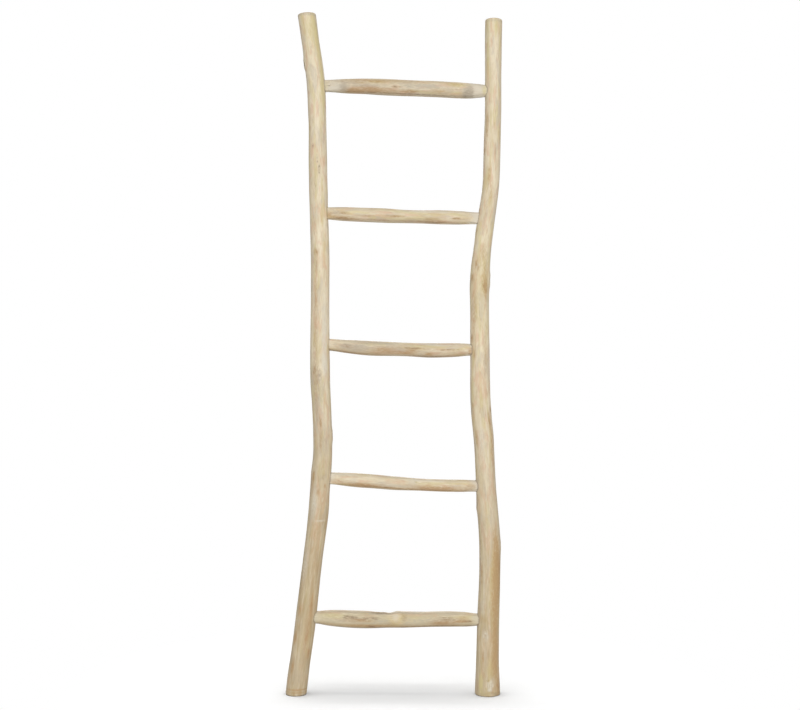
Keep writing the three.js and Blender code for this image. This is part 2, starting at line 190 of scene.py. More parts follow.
# Eyes of knots: level, angle, half width and how dark. level is the height above the floor on a rail and
# X on a rung, in millimetres. The angle is in degrees: on a rail from +X towards +Y, so -90 faces the
# front, and on a rung from +Y towards +Z, so 180 faces the front and 90 is its top.
KNOTS = {
    "rail_left": [
        (1388, 192, 6.0, 0.4), (1206, -118, 1.6, 0.4), (1171, -90, 2.3, 0.4), (1161, -78, 1.8, 0.45),
        (1147, -79, 1.8, 0.45), (974, -112, 2.0, 0.1), (708, -84, 7.0, 0.12), (571, -4, 6.5, 0.5),
        (480, -72, 5.0, 0.12), (900, 70, 5.5, 0.7), (300, 110, 4.5, 0.6), (1290, 60, 3.0, 0.7),
    ],
    "rail_right": [
        (1022, -154, 1.8, 0.3), (946, -117, 3.4, 0.08), (914, -8, 6.5, 0.4), (899, -66, 3.0, 0.12),
        (626, -26, 3.0, 0.5), (420, 188, 8.0, 0.4), (133, -106, 6.5, 0.12), (329, -6, 4.5, 0.4),
        (670, 100, 5.0, 0.7), (1235, 75, 3.6, 0.7),
    ],
    "rung_1": [(168, 184, 1.6, 0.25), (60, 20, 3.0, 0.6)],
    "rung_2": [(48, 154, 3.0, 0.15), (-70, 330, 3.0, 0.6)],
    "rung_3": [(-104, 176, 1.6, 0.2), (30, 15, 2.6, 0.6)],
    "rung_4": [(-107, 176, 1.8, 0.2), (40, 350, 2.8, 0.6)],
    "rung_5": [(2, 185, 2.6, 0.3), (-142, 186, 1.9, 0.5), (-139, 173, 1.5, 0.35), (95, 30, 2.6, 0.6)],
}

# Dents and lumps that the solids leave out: level, angle, half length, half width, height.
DENTS = {
    "rail_left": [
        (1386, 186, 13, 7, 1.1), (1374, 190, 5, 6, -0.9), (571, -4, 8, 6, 1.0),
        (384, -68, 1.3, 12, -0.45), (1150, -80, 22, 9, -0.4), (484, -72, 14, 9, 0.5),
        (11, -86, 1.2, 30, -0.2),
    ],
    "rail_right": [
        (429, 185, 11, 8, -1.3), (414, 188, 6, 7, 0.9), (914, -8, 14, 9, 0.8), (128, -104, 18, 10, -0.5),
        (24, -60, 9, 8, -0.7), (12, -84, 5, 6, -0.5), (3, -52, 4, 9, -1.1), (3, -108, 3, 7, -0.8),
        (22, -38, 12, 8, 0.6), (34, -96, 12, 10, 0.5),
    ],
    "rung_1": [(-32, 92, 22, 16, -1.6), (-8, 92, 9, 14, -2.4), (8, 92, 8, 14, 1.1), (20, 150, 9, 8, 0.6)],
    "rung_2": [(46, 144, 8, 6, 0.6)],
    "rung_3": [(75, 250, 40, 9, 0.6)],
    "rung_4": [(-100, 110, 14, 8, 0.5), (96, 100, 10, 8, 0.5)],
    "rung_5": [(-112, 175, 12, 8, -0.5), (140, 120, 12, 8, 0.5)],
}

# Stains and painted light: level, angle, half length, half width, then how dark, brown, yellow and grey
# they are, where what is left out is 0. A negative grey is a bare place, a negative brown a fresh and pale
# one, and a negative yellow takes away from the yellow of others. Some marks are painted light, not stains:
# the narrow dark lines along the rungs' undersides and along rung_1's dip are painted shade, the narrow
# pale lines along the upper fronts of rungs 2 to 4 are painted highlights, and a pale mark high on each
# rail's left side is painted light.
STAINS_AND_PAINTED_LIGHT = {
    "rail_left": [
        (1389, 192, 12, 6, 0.4, 1.0), (1496, -86, 4, 40, 0, 0, 0.2, 0.6),
        (1476, -52, 26, 6, 0, 0.08, 0.5), (1464, -76, 34, 15, 0, 0.14, 0.35),
        (1380, -80, 150, 28, 0, -1.0, 0.05), (1440, -62, 80, 9, 0, 0, 0.3),
        (1336, -42, 24, 5, 0, 0.3, 1.0), (1296, -38, 30, 4, 0, 0.1, 0.8), (1425, -36, 50, 5.5, 0, 0, 1.0),
        # The mark at level 1478 is painted light that lightens the rail's upper left side.
        (1345, -32, 34, 6, 0, 0.15, 1.0), (1478, -126, 20, 9, 0, -0.2, 0.2, -0.1),
        (1410, -118, 60, 9, 0, -0.2, 0.2), (1427, -92, 14, 5, 0, 0.15, 0, 0.3),
        (1385, -100, 20, 5, 0, 0.2), (1335, -84, 24, 5, 0, 0.15, 0, -0.1), (1304, -104, 22, 5, 0, 0.15),
        (1320, -92, 60, 14, 0, -0.2), (1250, -62, 60, 5, 0, 0, 0.5),
        (1206, -118, 7, 2.2, 0.35, 0.1, 0.2, 0.1), (1180, -92, 12, 4, 0.16, 0.1, 0.3, 0.3),
        (1156, -79, 12, 3, 0.3, 0.2, 0, 0.1), (1156, -98, 14, 7, 0.03, 0.25, 0, 0.1),
        (1120, -107, 13, 2.8, 0.28, 0.2, 0.3), (1075, -90, 14, 6, 0, 0.1, 0.3, 0.2),
        (1030, -120, 30, 6, 0, 0.35), (974, -113, 8, 6, 0, 0.6), (945, -113, 22, 5, 0, 0.4),
        (985, -58, 40, 5, 0, 0, 0.5), (880, -118, 40, 6, 0, 0.35), (669, -84, 70, 22, 0, 0.04, 0, 0.42),
        (1140, -84, 80, 24, 0, 0, -0.15, -0.15), (775, -114, 80, 8, 0, 0.4, 0, 0.15),
        (790, -58, 90, 8, 0, 0, 0, -0.8), (722, -60, 22, 8, 0, 0, 0, -0.9),
        (713, -122, 9, 4, 0.15, 0.4, 0, 0.3), (702, -104, 6, 3, 0.1, 0.25, 0, 0.2),
        (708, -86, 12, 6, 0.08, 0.1, 0.2, 0.45), (688, -106, 7, 7, 0.08, 0.25, 0, 0.2),
        (640, -56, 40, 6, 0, 0, 0, -0.4), (640, -120, 50, 7, 0, 0.3), (600, -98, 12, 2.6, 0.2, 0.7),
        (598, -20, 26, 4, 0.05, 0.4, 0, 0.3), (560, -76, 34, 10, 0, 0.2, 0, 0.25),
        (481, -134, 13, 4, 0.15, 1.0), (530, -90, 90, 22, 0, -0.05, -0.6, 0.2),
        (555, -101, 24, 3.4, 0.04, 0.45, 0, 0.1), (480, -86, 9, 2, 0.12, 0.1, 0.5, 0.3),
        (482, -59, 9, 2.2, 0.15, 0.1, 0.5, 0.3), (481, -72, 6, 3, 0, 0, 0, -0.4),
        (460, -59, 6, 3, 0.1, 0.65), (445, -98, 6, 3, 0.05, 0.6), (470, -98, 30, 5, 0, 0.2, 0.3),
        (384, -68, 2.2, 12, 0, 0, 0, -0.7), (360, -82, 30, 10, 0, 0.25),
        (425, -118, 45, 9, 0, 0, 0, -0.7), (290, -130, 50, 8, 0, 0, 0, -0.5),
        (290, -76, 45, 8, 0.03, 0.3, 0, 0.1), (150, -72, 60, 8, 0.03, 0.35, 0.1, 0.1),
        (1062, -24, 14, 3, 0.05, 0, 1.0), (200, -62, 22, 2.8, 0.15, 0.9), (188, -130, 14, 4, 0.05, 0.8),
        (130, -68, 14, 2.4, 0.1, 0.7), (130, -76, 110, 12, 0, 0.2, 0, 0.15),
        (128, -139, 16, 4, 0.05, 0.9), (92, -42, 13, 3.4, 0.15, 0.9), (64, -130, 18, 3.5, 0.05, 0.8),
        (150, -88, 90, 7, 0, 0, 0.4, 0.25), (40, -90, 24, 16, 0, 0.15, 0.2, 0.4),
        (14, -86, 1.7, 40, 0, 0.8), (8, -86, 1.4, 40, 0, 0.6),
    ],
    "rail_right": [
        (1467, -69, 14, 8, 0, 0.45, 0.5), (1482, -94, 3, 40, 0, 0, 0.3, 0.4),
        # The mark at level 1468 is painted light that lightens the rail's upper left side.
        (1430, -92, 100, 26, 0, -0.5, 0.1), (1468, -128, 22, 9, 0, -0.2, 0.2, -0.1),
        (1404, -134, 45, 4, 0, 0.15, 0.75), (1400, -40, 60, 4, 0, 0, 0.4),
        (1340, -122, 40, 5, 0, 0.4, 0.1), (1268, -131, 13, 4.5, 0.03, 0.5, 0.2),
        (1240, -134, 22, 4.5, 0, 0.6), (1196, -152, 10, 3.5, 0.05, 0.7), (1200, -70, 18, 3, 0, 0.4),
        (1146, -108, 30, 4.5, 0, 0.5), (1110, -84, 30, 4, 0, 0.35, 0, 0.1),
        (1022, -154, 4, 2.4, 0.35, 0.5), (1060, -104, 40, 5, 0, 0.25, 0.1), (950, -124, 11, 3, 0.03, 0.6),
        (938, -106, 7, 2.6, 0.03, 0.5), (917, -147, 9, 4, 0.1, 0.85),
        (900, -64, 12, 4.4, 0.03, 0.45, 0.7), (975, -84, 20, 6, 0, 0.35),
        (890, -90, 150, 26, 0, 0.1, 0.35), (925, -62, 40, 7, 0, 0.35, 0.5),
        (890, -50, 22, 5, 0, 0.55, 0.2), (826, -88, 3.5, 2.2, 0, 0.3), (850, -132, 60, 6, 0, 0.4),
        (785, -150, 8, 4, 0.05, 0.7), (750, -128, 12, 4, 0, 0.5), (740, -58, 60, 6, 0, 0.35, 0.1),
        (637, -146, 7, 3, 0.12, 0.8), (626, -26, 9, 3.4, 0.3, 0.8), (606, -48, 16, 4, 0.05, 0.65),
        (565, -138, 22, 4.5, 0.05, 0.6), (560, -104, 40, 9, 0, 0, 0, -0.35),
        (545, -40, 60, 6, 0, 0.6, 0.1), (430, 186, 12, 6, 0.3, 0.6, 0, 0.2),
        (470, -122, 60, 6, 0, 0.15, 0.3), (430, -90, 150, 26, 0, 0, -0.05, -0.22),
        (330, -60, 50, 8, 0, 0.6, 0.3), (275, -72, 50, 8, 0, 0.25, 0.6), (225, -51, 85, 12, 0, 1.0, 0.8),
        (262, -40, 40, 7, 0.05, 0.9), (90, -50, 62, 10, 0.06, 1.0, 0.6), (266, -140, 26, 2.4, 0.05, 0.7),
        (170, -120, 10, 14, 0, 0.35, 0.1), (134, -106, 12, 8, 0, 0, 0.1, -0.65),
        (207, -122, 40, 5, 0, 0, 0.1, -0.4), (128, -113, 4, 2, 0.12, 0.2, 0, 0.3),
        (82, -118, 18, 3.2, 0.05, 0.65), (26, -76, 15, 12, 0, 0, 0, -0.65),
        (20, -62, 8, 4, 0.08, 0.2, 0, 0.4), (36, -92, 3, 5, 0.25, 0.2, 0.3, 0.3),
        (17, -100, 5, 2.4, 0.25, 0.2, 0.4, 0.2), (9, -72, 2.6, 6, 0.25, 0.2, 0.2, 0.3),
        (5, -50, 4, 12, 0.2, 0.2, 0.2, 0.5), (5, -126, 4, 12, 0.12, 0.2, 0.4, 0.3),
        (24, -66, 3, 2.4, 0, 0, 0, -0.9), (15, -84, 2.4, 3, 0, 0, 0, -0.9),
        (34, -78, 3, 2, 0, 0, 0, -0.8), (30, -128, 20, 6, 0.05, 0.1, 1.0), (20, -34, 18, 5, 0.15, 0.9),
        (60, -82, 26, 8, 0, 0.15, 0.4, 0.1),
    ],
    "rung_1": [
        (-102, 154, 10, 4.2, 0.5, 0.3, 0, 0.2), (-85, 157, 8, 3.6, 0.42, 0.3, 0, 0.2),
        (-63, 160, 8, 2.6, 0.35, 0.3, 0, 0.1), (-43, 160, 13, 3.8, 0.4, 0.3, 0.1, 0.2),
        (-72, 172, 14, 2.2, 0.2, 0.4, 0, 0.2), (-90, 178, 30, 5, 0, 0.4, 0, 0.3),
        (-55, 182, 16, 2.4, 0.1, 0.45), (-60, 220, 70, 5, 0.1, 0.75, 0.3),
        # The mark at -26, angle 110, is painted shadow along the upper edge of the dip.
        (-49, 226, 7, 4, 0.35, 0.8, 0.2), (-26, 110, 26, 4.5, 0.7, 0.5), (-130, 150, 26, 5, 0, 0.1, 0.8),
        (4, 170, 13, 14, 0, 0, -0.4, -1.1), (-8, 196, 12, 8, 0.05, 0.2, 0, 0.2),
        (22, 155, 8, 11, 0.2, 0.35, 0.6, 0.1), (44, 160, 14, 6, 0, 0, 0.5),
        (119, 158, 18, 1.3, 0.35, 0.4), (119, 175, 18, 1.3, 0.3, 0.4), (122, 167, 16, 1.1, 0.25, 0.3),
        (152, 162, 13, 6, 0, 0.5), (150, 186, 14, 2.4, 0.2, 0.85), (165, 184, 8, 2.6, 0.42, 0.3, 0, 0.2),
        (110, 200, 34, 4.5, 0.05, 0.6, 0.1), (80, 232, 90, 4, 0.25, 0.6, 0.3),
        (0, 176, 260, 13, 0, 0, 0.6, 0.5), (105, 190, 28, 10, 0.08, 0.25, 0.1, 0.3),
        (186, 228, 4, 3, 0.6, 0.7, 0.2), (0, 118, 150, 5, 0, 0, 0.2, 0.45),
        # The marks at angle 247 here and on the next line are painted shade, dark lines along the
        # underside.
        (-60, 247, 150, 3.4, 0.3, 0.1, 0, 0.5), (0, 216, 190, 14, 0.06, 0.04, 0.2, 0.28),
        (115, 247, 70, 3.4, 0.32, 0.3, 0, 0.3),
    ],
    "rung_2": [
        (-72, 214, 28, 4.5, 0.15, 0.8), (-40, 226, 70, 3, 0.1, 0.5), (46, 150, 10, 4, 0, 0, 0.3, -0.6),
        # The mark at 30, angle 228, is painted shade, a dark line along the underside.
        (51, 158, 5, 2, 0.15, 0, 0.6, 0.3), (80, 196, 60, 5, 0, 0.4), (30, 228, 120, 3, 0.2, 0.6),
        (170, 186, 14, 8, 0, 0.35, 0, 0.55), (-130, 196, 26, 4, 0.06, 0.25),
        (-62, 206, 30, 4, 0.05, 0.35, 0.2), (95, 220, 40, 5, 0.08, 0.4),
        # The marks at angle 127 here and on the next line are painted highlights, pale lines along the
        # upper front.
        (-120, 127, 50, 4, 0, 0, 0, -0.5), (115, 206, 50, 13, 0.02, 0.28, 0, 0.1),
        (80, 127, 80, 4, 0, 0, 0, -0.4), (-10, 150, 60, 4, 0, 0, 0.4),
        (0, 178, 170, 22, 0, 0, -0.3, -0.12),
    ],
    "rung_3": [
        (-104, 176, 11, 5, 0.18, 0.3, 0, 0.7), (-80, 182, 26, 8, 0.14, 0.1, 0, 1.0),
        (-20, 178, 24, 5, 0, 0.45, 0.3), (-10, 212, 52, 5.5, 0.02, 0.5),
        (46, 168, 34, 2.4, 0.34, 0.5, 0.4), (41, 188, 14, 3, 0, 0.55, 0, 0.1), (30, 212, 18, 3.5, 0, 0.5),
        (77, 212, 8, 3, 0, 0.9), (119, 176, 28, 2.2, 0.3, 0.6, 0.2), (130, 200, 30, 5, 0, 0.25, 0, 0.1),
        (168, 200, 4, 3, 0.15, 0.8), (166, 226, 4, 2.6, 0.3, 0.7), (170, 180, 6, 9, 0, 0.5),
        # Both marks at angle 236 are painted shade, dark lines along the underside.
        (96, 236, 50, 3.2, 0.4, 0.3, 0.2, 0.2), (-90, 236, 60, 3.2, 0.35, 0.5),
        # The mark at 95, angle 130, is a painted highlight, a pale line along the upper front.
        (-40, 132, 60, 4.5, 0, 0.1, 0, 0.6), (95, 130, 60, 4, 0, 0, 0, -0.6),
        (-20, 180, 90, 6, 0, 0.15, 0, 0.4), (0, 178, 170, 22, 0, 0, -0.4),
    ],
    "rung_4": [
        (-107, 176, 11, 3, 0.25, 0.7, 0.1), (-146, 190, 10, 8, 0, 0.5, 0.2),
        (-112, 222, 26, 4.5, 0.12, 0.75), (-60, 192, 24, 3, 0.1, 0.5), (-46, 208, 12, 4.5, 0, 0, 0.9),
        (4, 188, 24, 4, 0.12, 0.9), (20, 146, 50, 6, 0, -0.5), (24, 205, 44, 4, 0, -0.4),
        (-130, 120, 26, 5, 0.1, 0.1, 0, 0.5), (95, 232, 30, 4, 0.18, 0.4, 0, 0.2),
        (80, 205, 22, 4, 0, 0.55, 0, 0.2), (137, 192, 11, 3, 0.2, 0.8), (132, 152, 14, 4, 0, 0, 0.7),
        # The mark at angle 228 is painted shade along the underside, and the one at angle 134 a painted
        # highlight along the upper front.
        (0, 228, 150, 3.5, 0.16, 0.45, 0, 0.2), (70, 134, 70, 4, 0, 0, 0, -0.7),
        (-130, 174, 14, 5, 0, 0.3, 0.1, 0.4), (160, 190, 14, 6, 0, 0.25, 0.3),
        (0, 178, 170, 22, 0, 0, -0.2, 0.08),
    ],
    "rung_5": [
        (-142, 184, 3.5, 2.2, 0.4, 0.1, 0, 0.4), (-110, 199, 10, 14, 0.14, 0.05, 0, 0.9),
        (-138, 206, 8, 7, 0, 0, 0, -0.5), (-150, 186, 7, 13, 0.06, 0, 0.5, 0.4),
        (-87, 226, 14, 5, 0.15, 0.9), (-90, 152, 36, 10, 0, 0.15, 0, 0.3), (-45, 216, 46, 6, 0.08, 0.9),
        (-60, 186, 32, 5, 0, 0.15, 0, 0.6), (-73, 165, 13, 2.2, 0.12, 0.3, 0.4),
        (-37, 150, 20, 4, 0, 0.45, 0.8), (2, 186, 7, 2.6, 0.36, 0.3, 0.2), (13, 184, 4, 2, 0.2, 0.2, 0.2),
        (37, 174, 14, 4, 0, 0, 0.3, 0.5), (37, 216, 18, 4.5, 0, 0.75), (74, 172, 26, 4.5, 0, 0, 0, 0.8),
        (101, 206, 24, 7, 0, 0.4, 0.3), (139, 149, 18, 5.5, 0, 0.3, 1.0),
        (139, 188, 14, 3, 0, 0.4, 0, 0.2), (141, 212, 14, 2.6, 0, 0, 0.8, 0.1),
        (160, 214, 10, 15, 0.24, 0, 0, 0.9), (166, 176, 5, 9, 0.08, 0, 0, 0.6),
        (172, 212, 5, 16, 0.14, 0, 0, 0.6), (200, 184, 6, 14, 0.05, 0, 0.7),
        # Both marks, at angles 240 and 238, are painted shade, dark lines along the underside.
        (70, 240, 110, 2.6, 0.35, 0.3, 0, 0.3), (-60, 238, 60, 2.6, 0.2, 0.4, 0, 0.1),
        (-10, 138, 150, 6, 0, 0.4, 0.3, 0.2), (60, 182, 110, 9, 0, 0, 0.1, 0.4),
    ],
}

# How far the bare, whittled wood reaches from the left and the right end of each rung.
BARE_ENDS = {
    "rung_1": (2, 6),
    "rung_2": (2, 10),
    "rung_3": (-4, 2),
    "rung_4": (-10, 14),
    "rung_5": (34, 30),
}

# How much is shaved off the front of each rung's left and right end, so that it meets the rail flush.
FRONT_CUTS = {
    "rung_1": (0.5, 0.8),
    "rung_2": (5.5, 0.8),
    "rung_3": (5.5, 2.2),
    "rung_4": (5.8, 5.2),
    "rung_5": (5.2, 0.3),
}

# How far the deeper tone of each rail's foot comes in, and the heights between which it does. It is partly
# the wood's own deeper tone and partly painted shade, the light falling off towards the floor.
FOOT_TONES_AND_SHADE = {"rail_left": (1.0, (850, 215)), "rail_right": (0.85, (860, 60))}

# How much brown skin is left on each rung, and with it how much painted shade darkens its underside.
RUNG_SKIN_AND_SHADE = {"rung_1": 1.0, "rung_2": 0.45, "rung_3": 0.68, "rung_4": 0.36, "rung_5": 0.34}


def blurred(values, spread, axis, **edge):
    """values smoothed along one axis by a bell curve that is spread samples wide. edge goes to np.pad."""
    reach = int(3 * spread) + 1
    taps = np.exp(-0.5 * (np.arange(-reach, reach + 1) / spread) ** 2)
    margins = [(0, 0)] * values.ndim
    margins[axis] = (reach, reach)
    padded = np.pad(values, margins, **edge)
    return np.apply_along_axis(np.convolve, axis, padded, taps / taps.sum(), "valid")


def smooth_step(low, high, values):
    """0 below low and 1 above high, with t * t * (3 - 2 t) between them."""
    t = np.clip((values - low) / (high - low), 0, 1)
    return t * t * (3 - 2 * t)


def on_lattice(lattice, row, column, ease):
    """The height at a row and column of a lattice that closes round, blended from its four neighbours."""
    i, j = np.floor(row).astype(int), np.floor(column).astype(int)
    u, v = ease(row - i), ease(column - j)
    j, after = j % lattice.shape[1], (j + 1) % lattice.shape[1]
    lower = lattice[i, j] * (1 - v) + lattice[i, after] * v
    upper = lattice[i + 1, j] * (1 - v) + lattice[i + 1, after] * v
    return lower * (1 - u) + upper * u


def ripples(seed, level, angle, step, lobes):
    """Random ripples from -1 to 1 that close round the branch.

    Random heights stand on a lattice of one row a step along and so many lobes round, and between its
    points the height is blended both ways by t * t * (3 - 2 t).
    """
    row = (level - level.min()) / step
    lattice = np.random.default_rng(seed).uniform(-1, 1, (int(row.max()) + 2, lobes))
    return on_lattice(lattice, row, (angle / TURN) % 1 * lobes, lambda t: smooth_step(0, 1, t))


def twisted(angle, level, settings):
    """The angle round the grain, which winds round the branch as it runs along it."""
    return angle + math.radians(settings.grain_twist) * level * MM


def angle_between(a, b):
    """The turn from b to a, from -half a turn to half a turn."""
    return (a - b + math.pi) % TURN - math.pi


def solid_of(node):
    """The corners of a CAD node's solid in millimetres, and its triangles."""
    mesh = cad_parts[node].data
    mesh.calc_loop_triangles()
    points = np.empty(len(mesh.vertices) * 3)
    mesh.vertices.foreach_get("co", points)
    triangles = np.empty(len(mesh.loop_triangles) * 3, int)
    mesh.loop_triangles.foreach_get("vertices", triangles)
    return points.reshape(-1, 3) / MM, triangles.reshape(-1, 3)


def sliced(corners, along, across, level):
    """Where the plane at a level along one axis crosses the sides of triangles, in the two other axes."""
    following = np.roll(corners, -1, axis=1)
    a, b = corners[..., along] - level, following[..., along] - level
    crossing = a * b < 0
    share = (a[crossing] / (a[crossing] - b[crossing]))[:, None]
    return (corners[crossing] + share * (following[crossing] - corners[crossing]))[:, across]


def circle_round(flat):
    """The middle and radius of a branch's outline, by least squares over its points near a circle."""
    low, high = flat[:, 1].min(), flat[:, 1].max()
    centre, radius = np.array([0, (low + high) / 2]), (high - low) / 2
    centre[0] = flat[abs(flat[:, 1] - centre[1]) > POLE_SHARE * radius, 0].mean()
    for _ in range(CIRCLE_FITS):
        kept = flat[abs(np.hypot(*(flat - centre).T) - radius) < ROUND_ENOUGH]
        terms = np.column_stack([2 * kept, np.ones(len(kept))])
        x, y, rest = np.linalg.lstsq(terms, (kept**2).sum(1), rcond=None)[0]
        centre, radius = np.array([x, y]), math.sqrt(rest + x * x + y * y)
    return centre, radius


class Branch:
    """A branch as its CAD solid has it: where its middle is, and how far its surface stands from that.

    Its number, its place among all the branches' names, gives it ripples and a stretch of grain of its own.
    """

    def __init__(self, node, along):
        """Fits a circle to each slice of the solid, and maps what stands proud of those circles."""
        self.node = node
        self.number = sorted(KNOTS).index(node)
        self.along = along
        self.across = [Y, Z] if along == X else [X, Y]
        points, triangles = solid_of(node)
        corners = points[triangles]
        self.low, self.high = points[:, along].min(), points[:, along].max()
        levels = np.arange(self.low + END_SKIP, self.high - END_SKIP, SLICE_STEP)
        columns = np.arange(BUMP_COLUMNS) / BUMP_COLUMNS * TURN
        centres, radii, bumps = [], [], []
        for level in levels:
            flat = sliced(corners, along, self.across, level)
            centre, radius = circle_round(flat)
            proud = np.hypot(*(flat - centre).T) - radius
            outside = (proud > -DEEPEST_DENT) & (proud < TALLEST_BUMP)
            turned = np.arctan2(*(flat - centre)[outside].T[::-1])
            centres.append(centre)
            radii.append(radius)
            bumps.append(np.interp(columns, turned, proud[outside], period=TURN))
        ends = (2 + int(END_SKIP / SLICE_STEP),) * 2
        onwards = {"mode": "reflect", "reflect_type": "odd"}
        self.levels = np.pad(levels, ends, **onwards)
        centres = np.pad(np.array(centres), (ends, (0, 0)), **onwards)
        self.centres = blurred(centres, CENTRE_SPREAD, 0, **onwards)
        self.radii = blurred(np.pad(radii, ends, mode="edge"), CENTRE_SPREAD, 0, mode="edge")
        bumps = blurred(np.pad(bumps, (ends, (0, 0)), mode="edge"), BUMP_SPREAD, 0, mode="edge")
        self.bumps = blurred(bumps, BUMP_SPREAD, 1, mode="wrap")

    def middle(self, level):
        """The two other coordinates of the branch's middle at a level."""
        return [np.interp(level, self.levels, self.centres[:, k]) for k in range(2)]

    def round_radius(self, level):
        """The radius of the circle that fits the branch at a level."""
        return np.interp(level, self.levels, self.radii)

    def bump(self, level, angle):
        """How far the solid stands proud of that circle, between the mapped rows and columns."""
        row = np.interp(level, self.levels, np.arange(len(self.levels)))
        row = np.minimum(row, len(self.levels) - 1.001)
        return on_lattice(self.bumps, row, (angle / TURN) % 1 * BUMP_COLUMNS, lambda t: t)

    def offsets(self, level, angle, at, degrees):
        """How far points are from a place along the branch and round it, and the turn between them."""
        turn = angle_between(angle, math.radians(degrees))
        return level - at, turn * self.round_radius(level), turn

    def knot_reaches(self, level, angle):
        """For each knot, how far each point is from it in eye sizes, the turn to it, its size and tone."""
        found = []
        for at, degrees, size, tone in KNOTS[self.node]:
            along, across, turn = self.offsets(level, angle, at, degrees)
            found.append((np.hypot(along / (EYE_LENGTH * size), across / size), turn, size, tone))
        return found

    def bell(self, level, angle, at, degrees, half_length, half_width):
        """A bell curve along and round the branch, 1 at its middle."""
        along, across, _ = self.offsets(level, angle, at, degrees)
        return np.exp(-((along / half_length) ** 2) - (across / half_width) ** 2)

    def fibre_relief(self, level, angle, settings):
        """The hand-smoothed grain: long flutes, soft lumps and fine fibres, and the collars of the knots.

        A knot's collar is a bell curve round its rim, and its eye is sunk by another bell curve.
        """
        seed = 10 * (1 + self.number)
        turned = twisted(angle, level, settings)
        relief = settings.flute_depth * ripples(seed, level, turned, *FLUTES)
        relief = relief + settings.lump_depth * ripples(seed + 1, level, turned, *LUMPS)
        relief = relief + settings.fibre_depth * ripples(seed + 2, level, turned, *FIBRES)
        for reach, _, size, _ in self.knot_reaches(level, angle):
            collar = COLLAR_HEIGHT * size * np.exp(-(((reach - COLLAR_PLACE) / COLLAR_WIDTH) ** 2))
            relief = relief + collar - EYE_DEPTH * size * np.exp(-((reach / EYE_WIDTH) ** 2))
        for at, degrees, half_length, half_width, height in DENTS[self.node]:
            relief = relief + height * self.bell(level, angle, at, degrees, half_length, half_width)
        return relief

    def place(self, level, angle, distance):
        """Points at a distance from the middle, at a level and an angle round the branch."""
        first, second = self.middle(level)
        points = np.empty(np.broadcast(level, angle, distance).shape + (3,))
        points[..., self.along] = level
        points[..., self.across[0]] = first + distance * np.cos(angle)
        points[..., self.across[1]] = second + distance * np.sin(angle)
        return points

    def unrolled(self, points):
        """Level, angle and distance from the middle of points in millimetres."""
        level = points[:, self.along]
        first, second = self.middle(level)
        u, v = points[:, self.across[0]] - first, points[:, self.across[1]] - second
        return level, np.arctan2(v, u), np.hypot(u, v)


def ring_grid(low, high, rounding, end_rings, step, sides):
    """Level, angle, share of the radius and inset from it for each point of a branch with two sawn ends.

    Each end's face is a disc of rings, and its worn edge a quarter circle: inset r (1 - sin t), height
    r (1 - cos t). Between the ends the rings stand a step apart, with share 1 and inset 0.
    """
    face = np.linspace(0, 1, end_rings[0] + 1)[1:-1]
    t = np.linspace(0, math.pi / 2, end_rings[1] + 1)[:-1]
    shares = np.concatenate([face, np.ones(len(t))])
    insets = np.concatenate([np.full(len(face), rounding), rounding * (1 - np.sin(t))])
    heights = np.concatenate([np.zeros(len(face)), rounding * (1 - np.cos(t))])
    length = high - low - 2 * rounding
    shaft = low + rounding + np.linspace(0, length, int(length / step))
    plain = np.ones(len(shaft))
    level = np.concatenate([low + heights, shaft, (high - heights)[::-1]])
    share = np.concatenate([shares, plain, shares[::-1]])
    inset = np.concatenate([insets, 0 * plain, insets[::-1]])
    angle = np.arange(sides) / sides * TURN
    return np.broadcast_arrays(level[:, None], angle, share[:, None], inset[:, None])


def closed_grid(points, poles):
    """Quads between rings of points and a fan of triangles at each end, all facing outwards."""
    rings, sides = points.shape[:2]
    ring = np.arange(rings * sides).reshape(rings, sides)
    beside = np.roll(ring, -1, axis=1)
    quads = np.stack([ring[:-1], beside[:-1], beside[1:], ring[1:]], -1).reshape(-1, 4)
    low, high = rings * sides, rings * sides + 1
    bottom = np.stack([np.full(sides, low), beside[0], ring[0]], -1)
    top = np.stack([np.full(sides, high), ring[-1], beside[-1]], -1)
    return np.concatenate([points.reshape(-1, 3), poles]), [quads, bottom, top]


def mesh_object(name, points, faces):
    """An object with a smooth mesh, from points in millimetres and arrays of faces of one size each."""
    mesh = bpy.data.meshes.new(name)
    mesh.vertices.add(len(points))
    mesh.vertices.foreach_set("co", (points * MM).astype(np.float32).ravel())
    corners = np.concatenate([face.ravel() for face in faces])
    sizes = np.concatenate([np.full(len(face), face.shape[1]) for face in faces])
    mesh.loops.add(len(corners))
    mesh.loops.foreach_set("vertex_index", corners.astype(np.int32))
    mesh.polygons.add(len(sizes))
    mesh.polygons.foreach_set("loop_start", (np.cumsum(sizes) - sizes).astype(np.int32))
    mesh.update(calc_edges=True)
    mesh.shade_smooth()
    made = bpy.data.objects.new(name, mesh)
    bpy.context.scene.collection.objects.link(made)
    return made


def cylinder(start, end, radius, sides, front_cut=0.0):
    """Points and faces of a closed cylinder between two points: ring = middle + r (cos a u + sin a v).

    front_cut is the thickness that is taken off the side that faces -Y.
    """
    way = (end - start) / np.linalg.norm(end - start)
    first = np.cross(way, [0, 0, 1] if abs(way[2]) < 0.9 else [1, 0, 0])
    first = first / np.linalg.norm(first)
    second = np.cross(way, first)
    a = np.arange(sides) / sides * TURN
    ring = radius * (np.cos(a)[:, None] * first + np.sin(a)[:, None] * second)
    ring[:, Y] = np.maximum(ring[:, Y], front_cut - radius)
    return closed_grid(np.stack([start + ring, end + ring]), np.stack([start, end]))


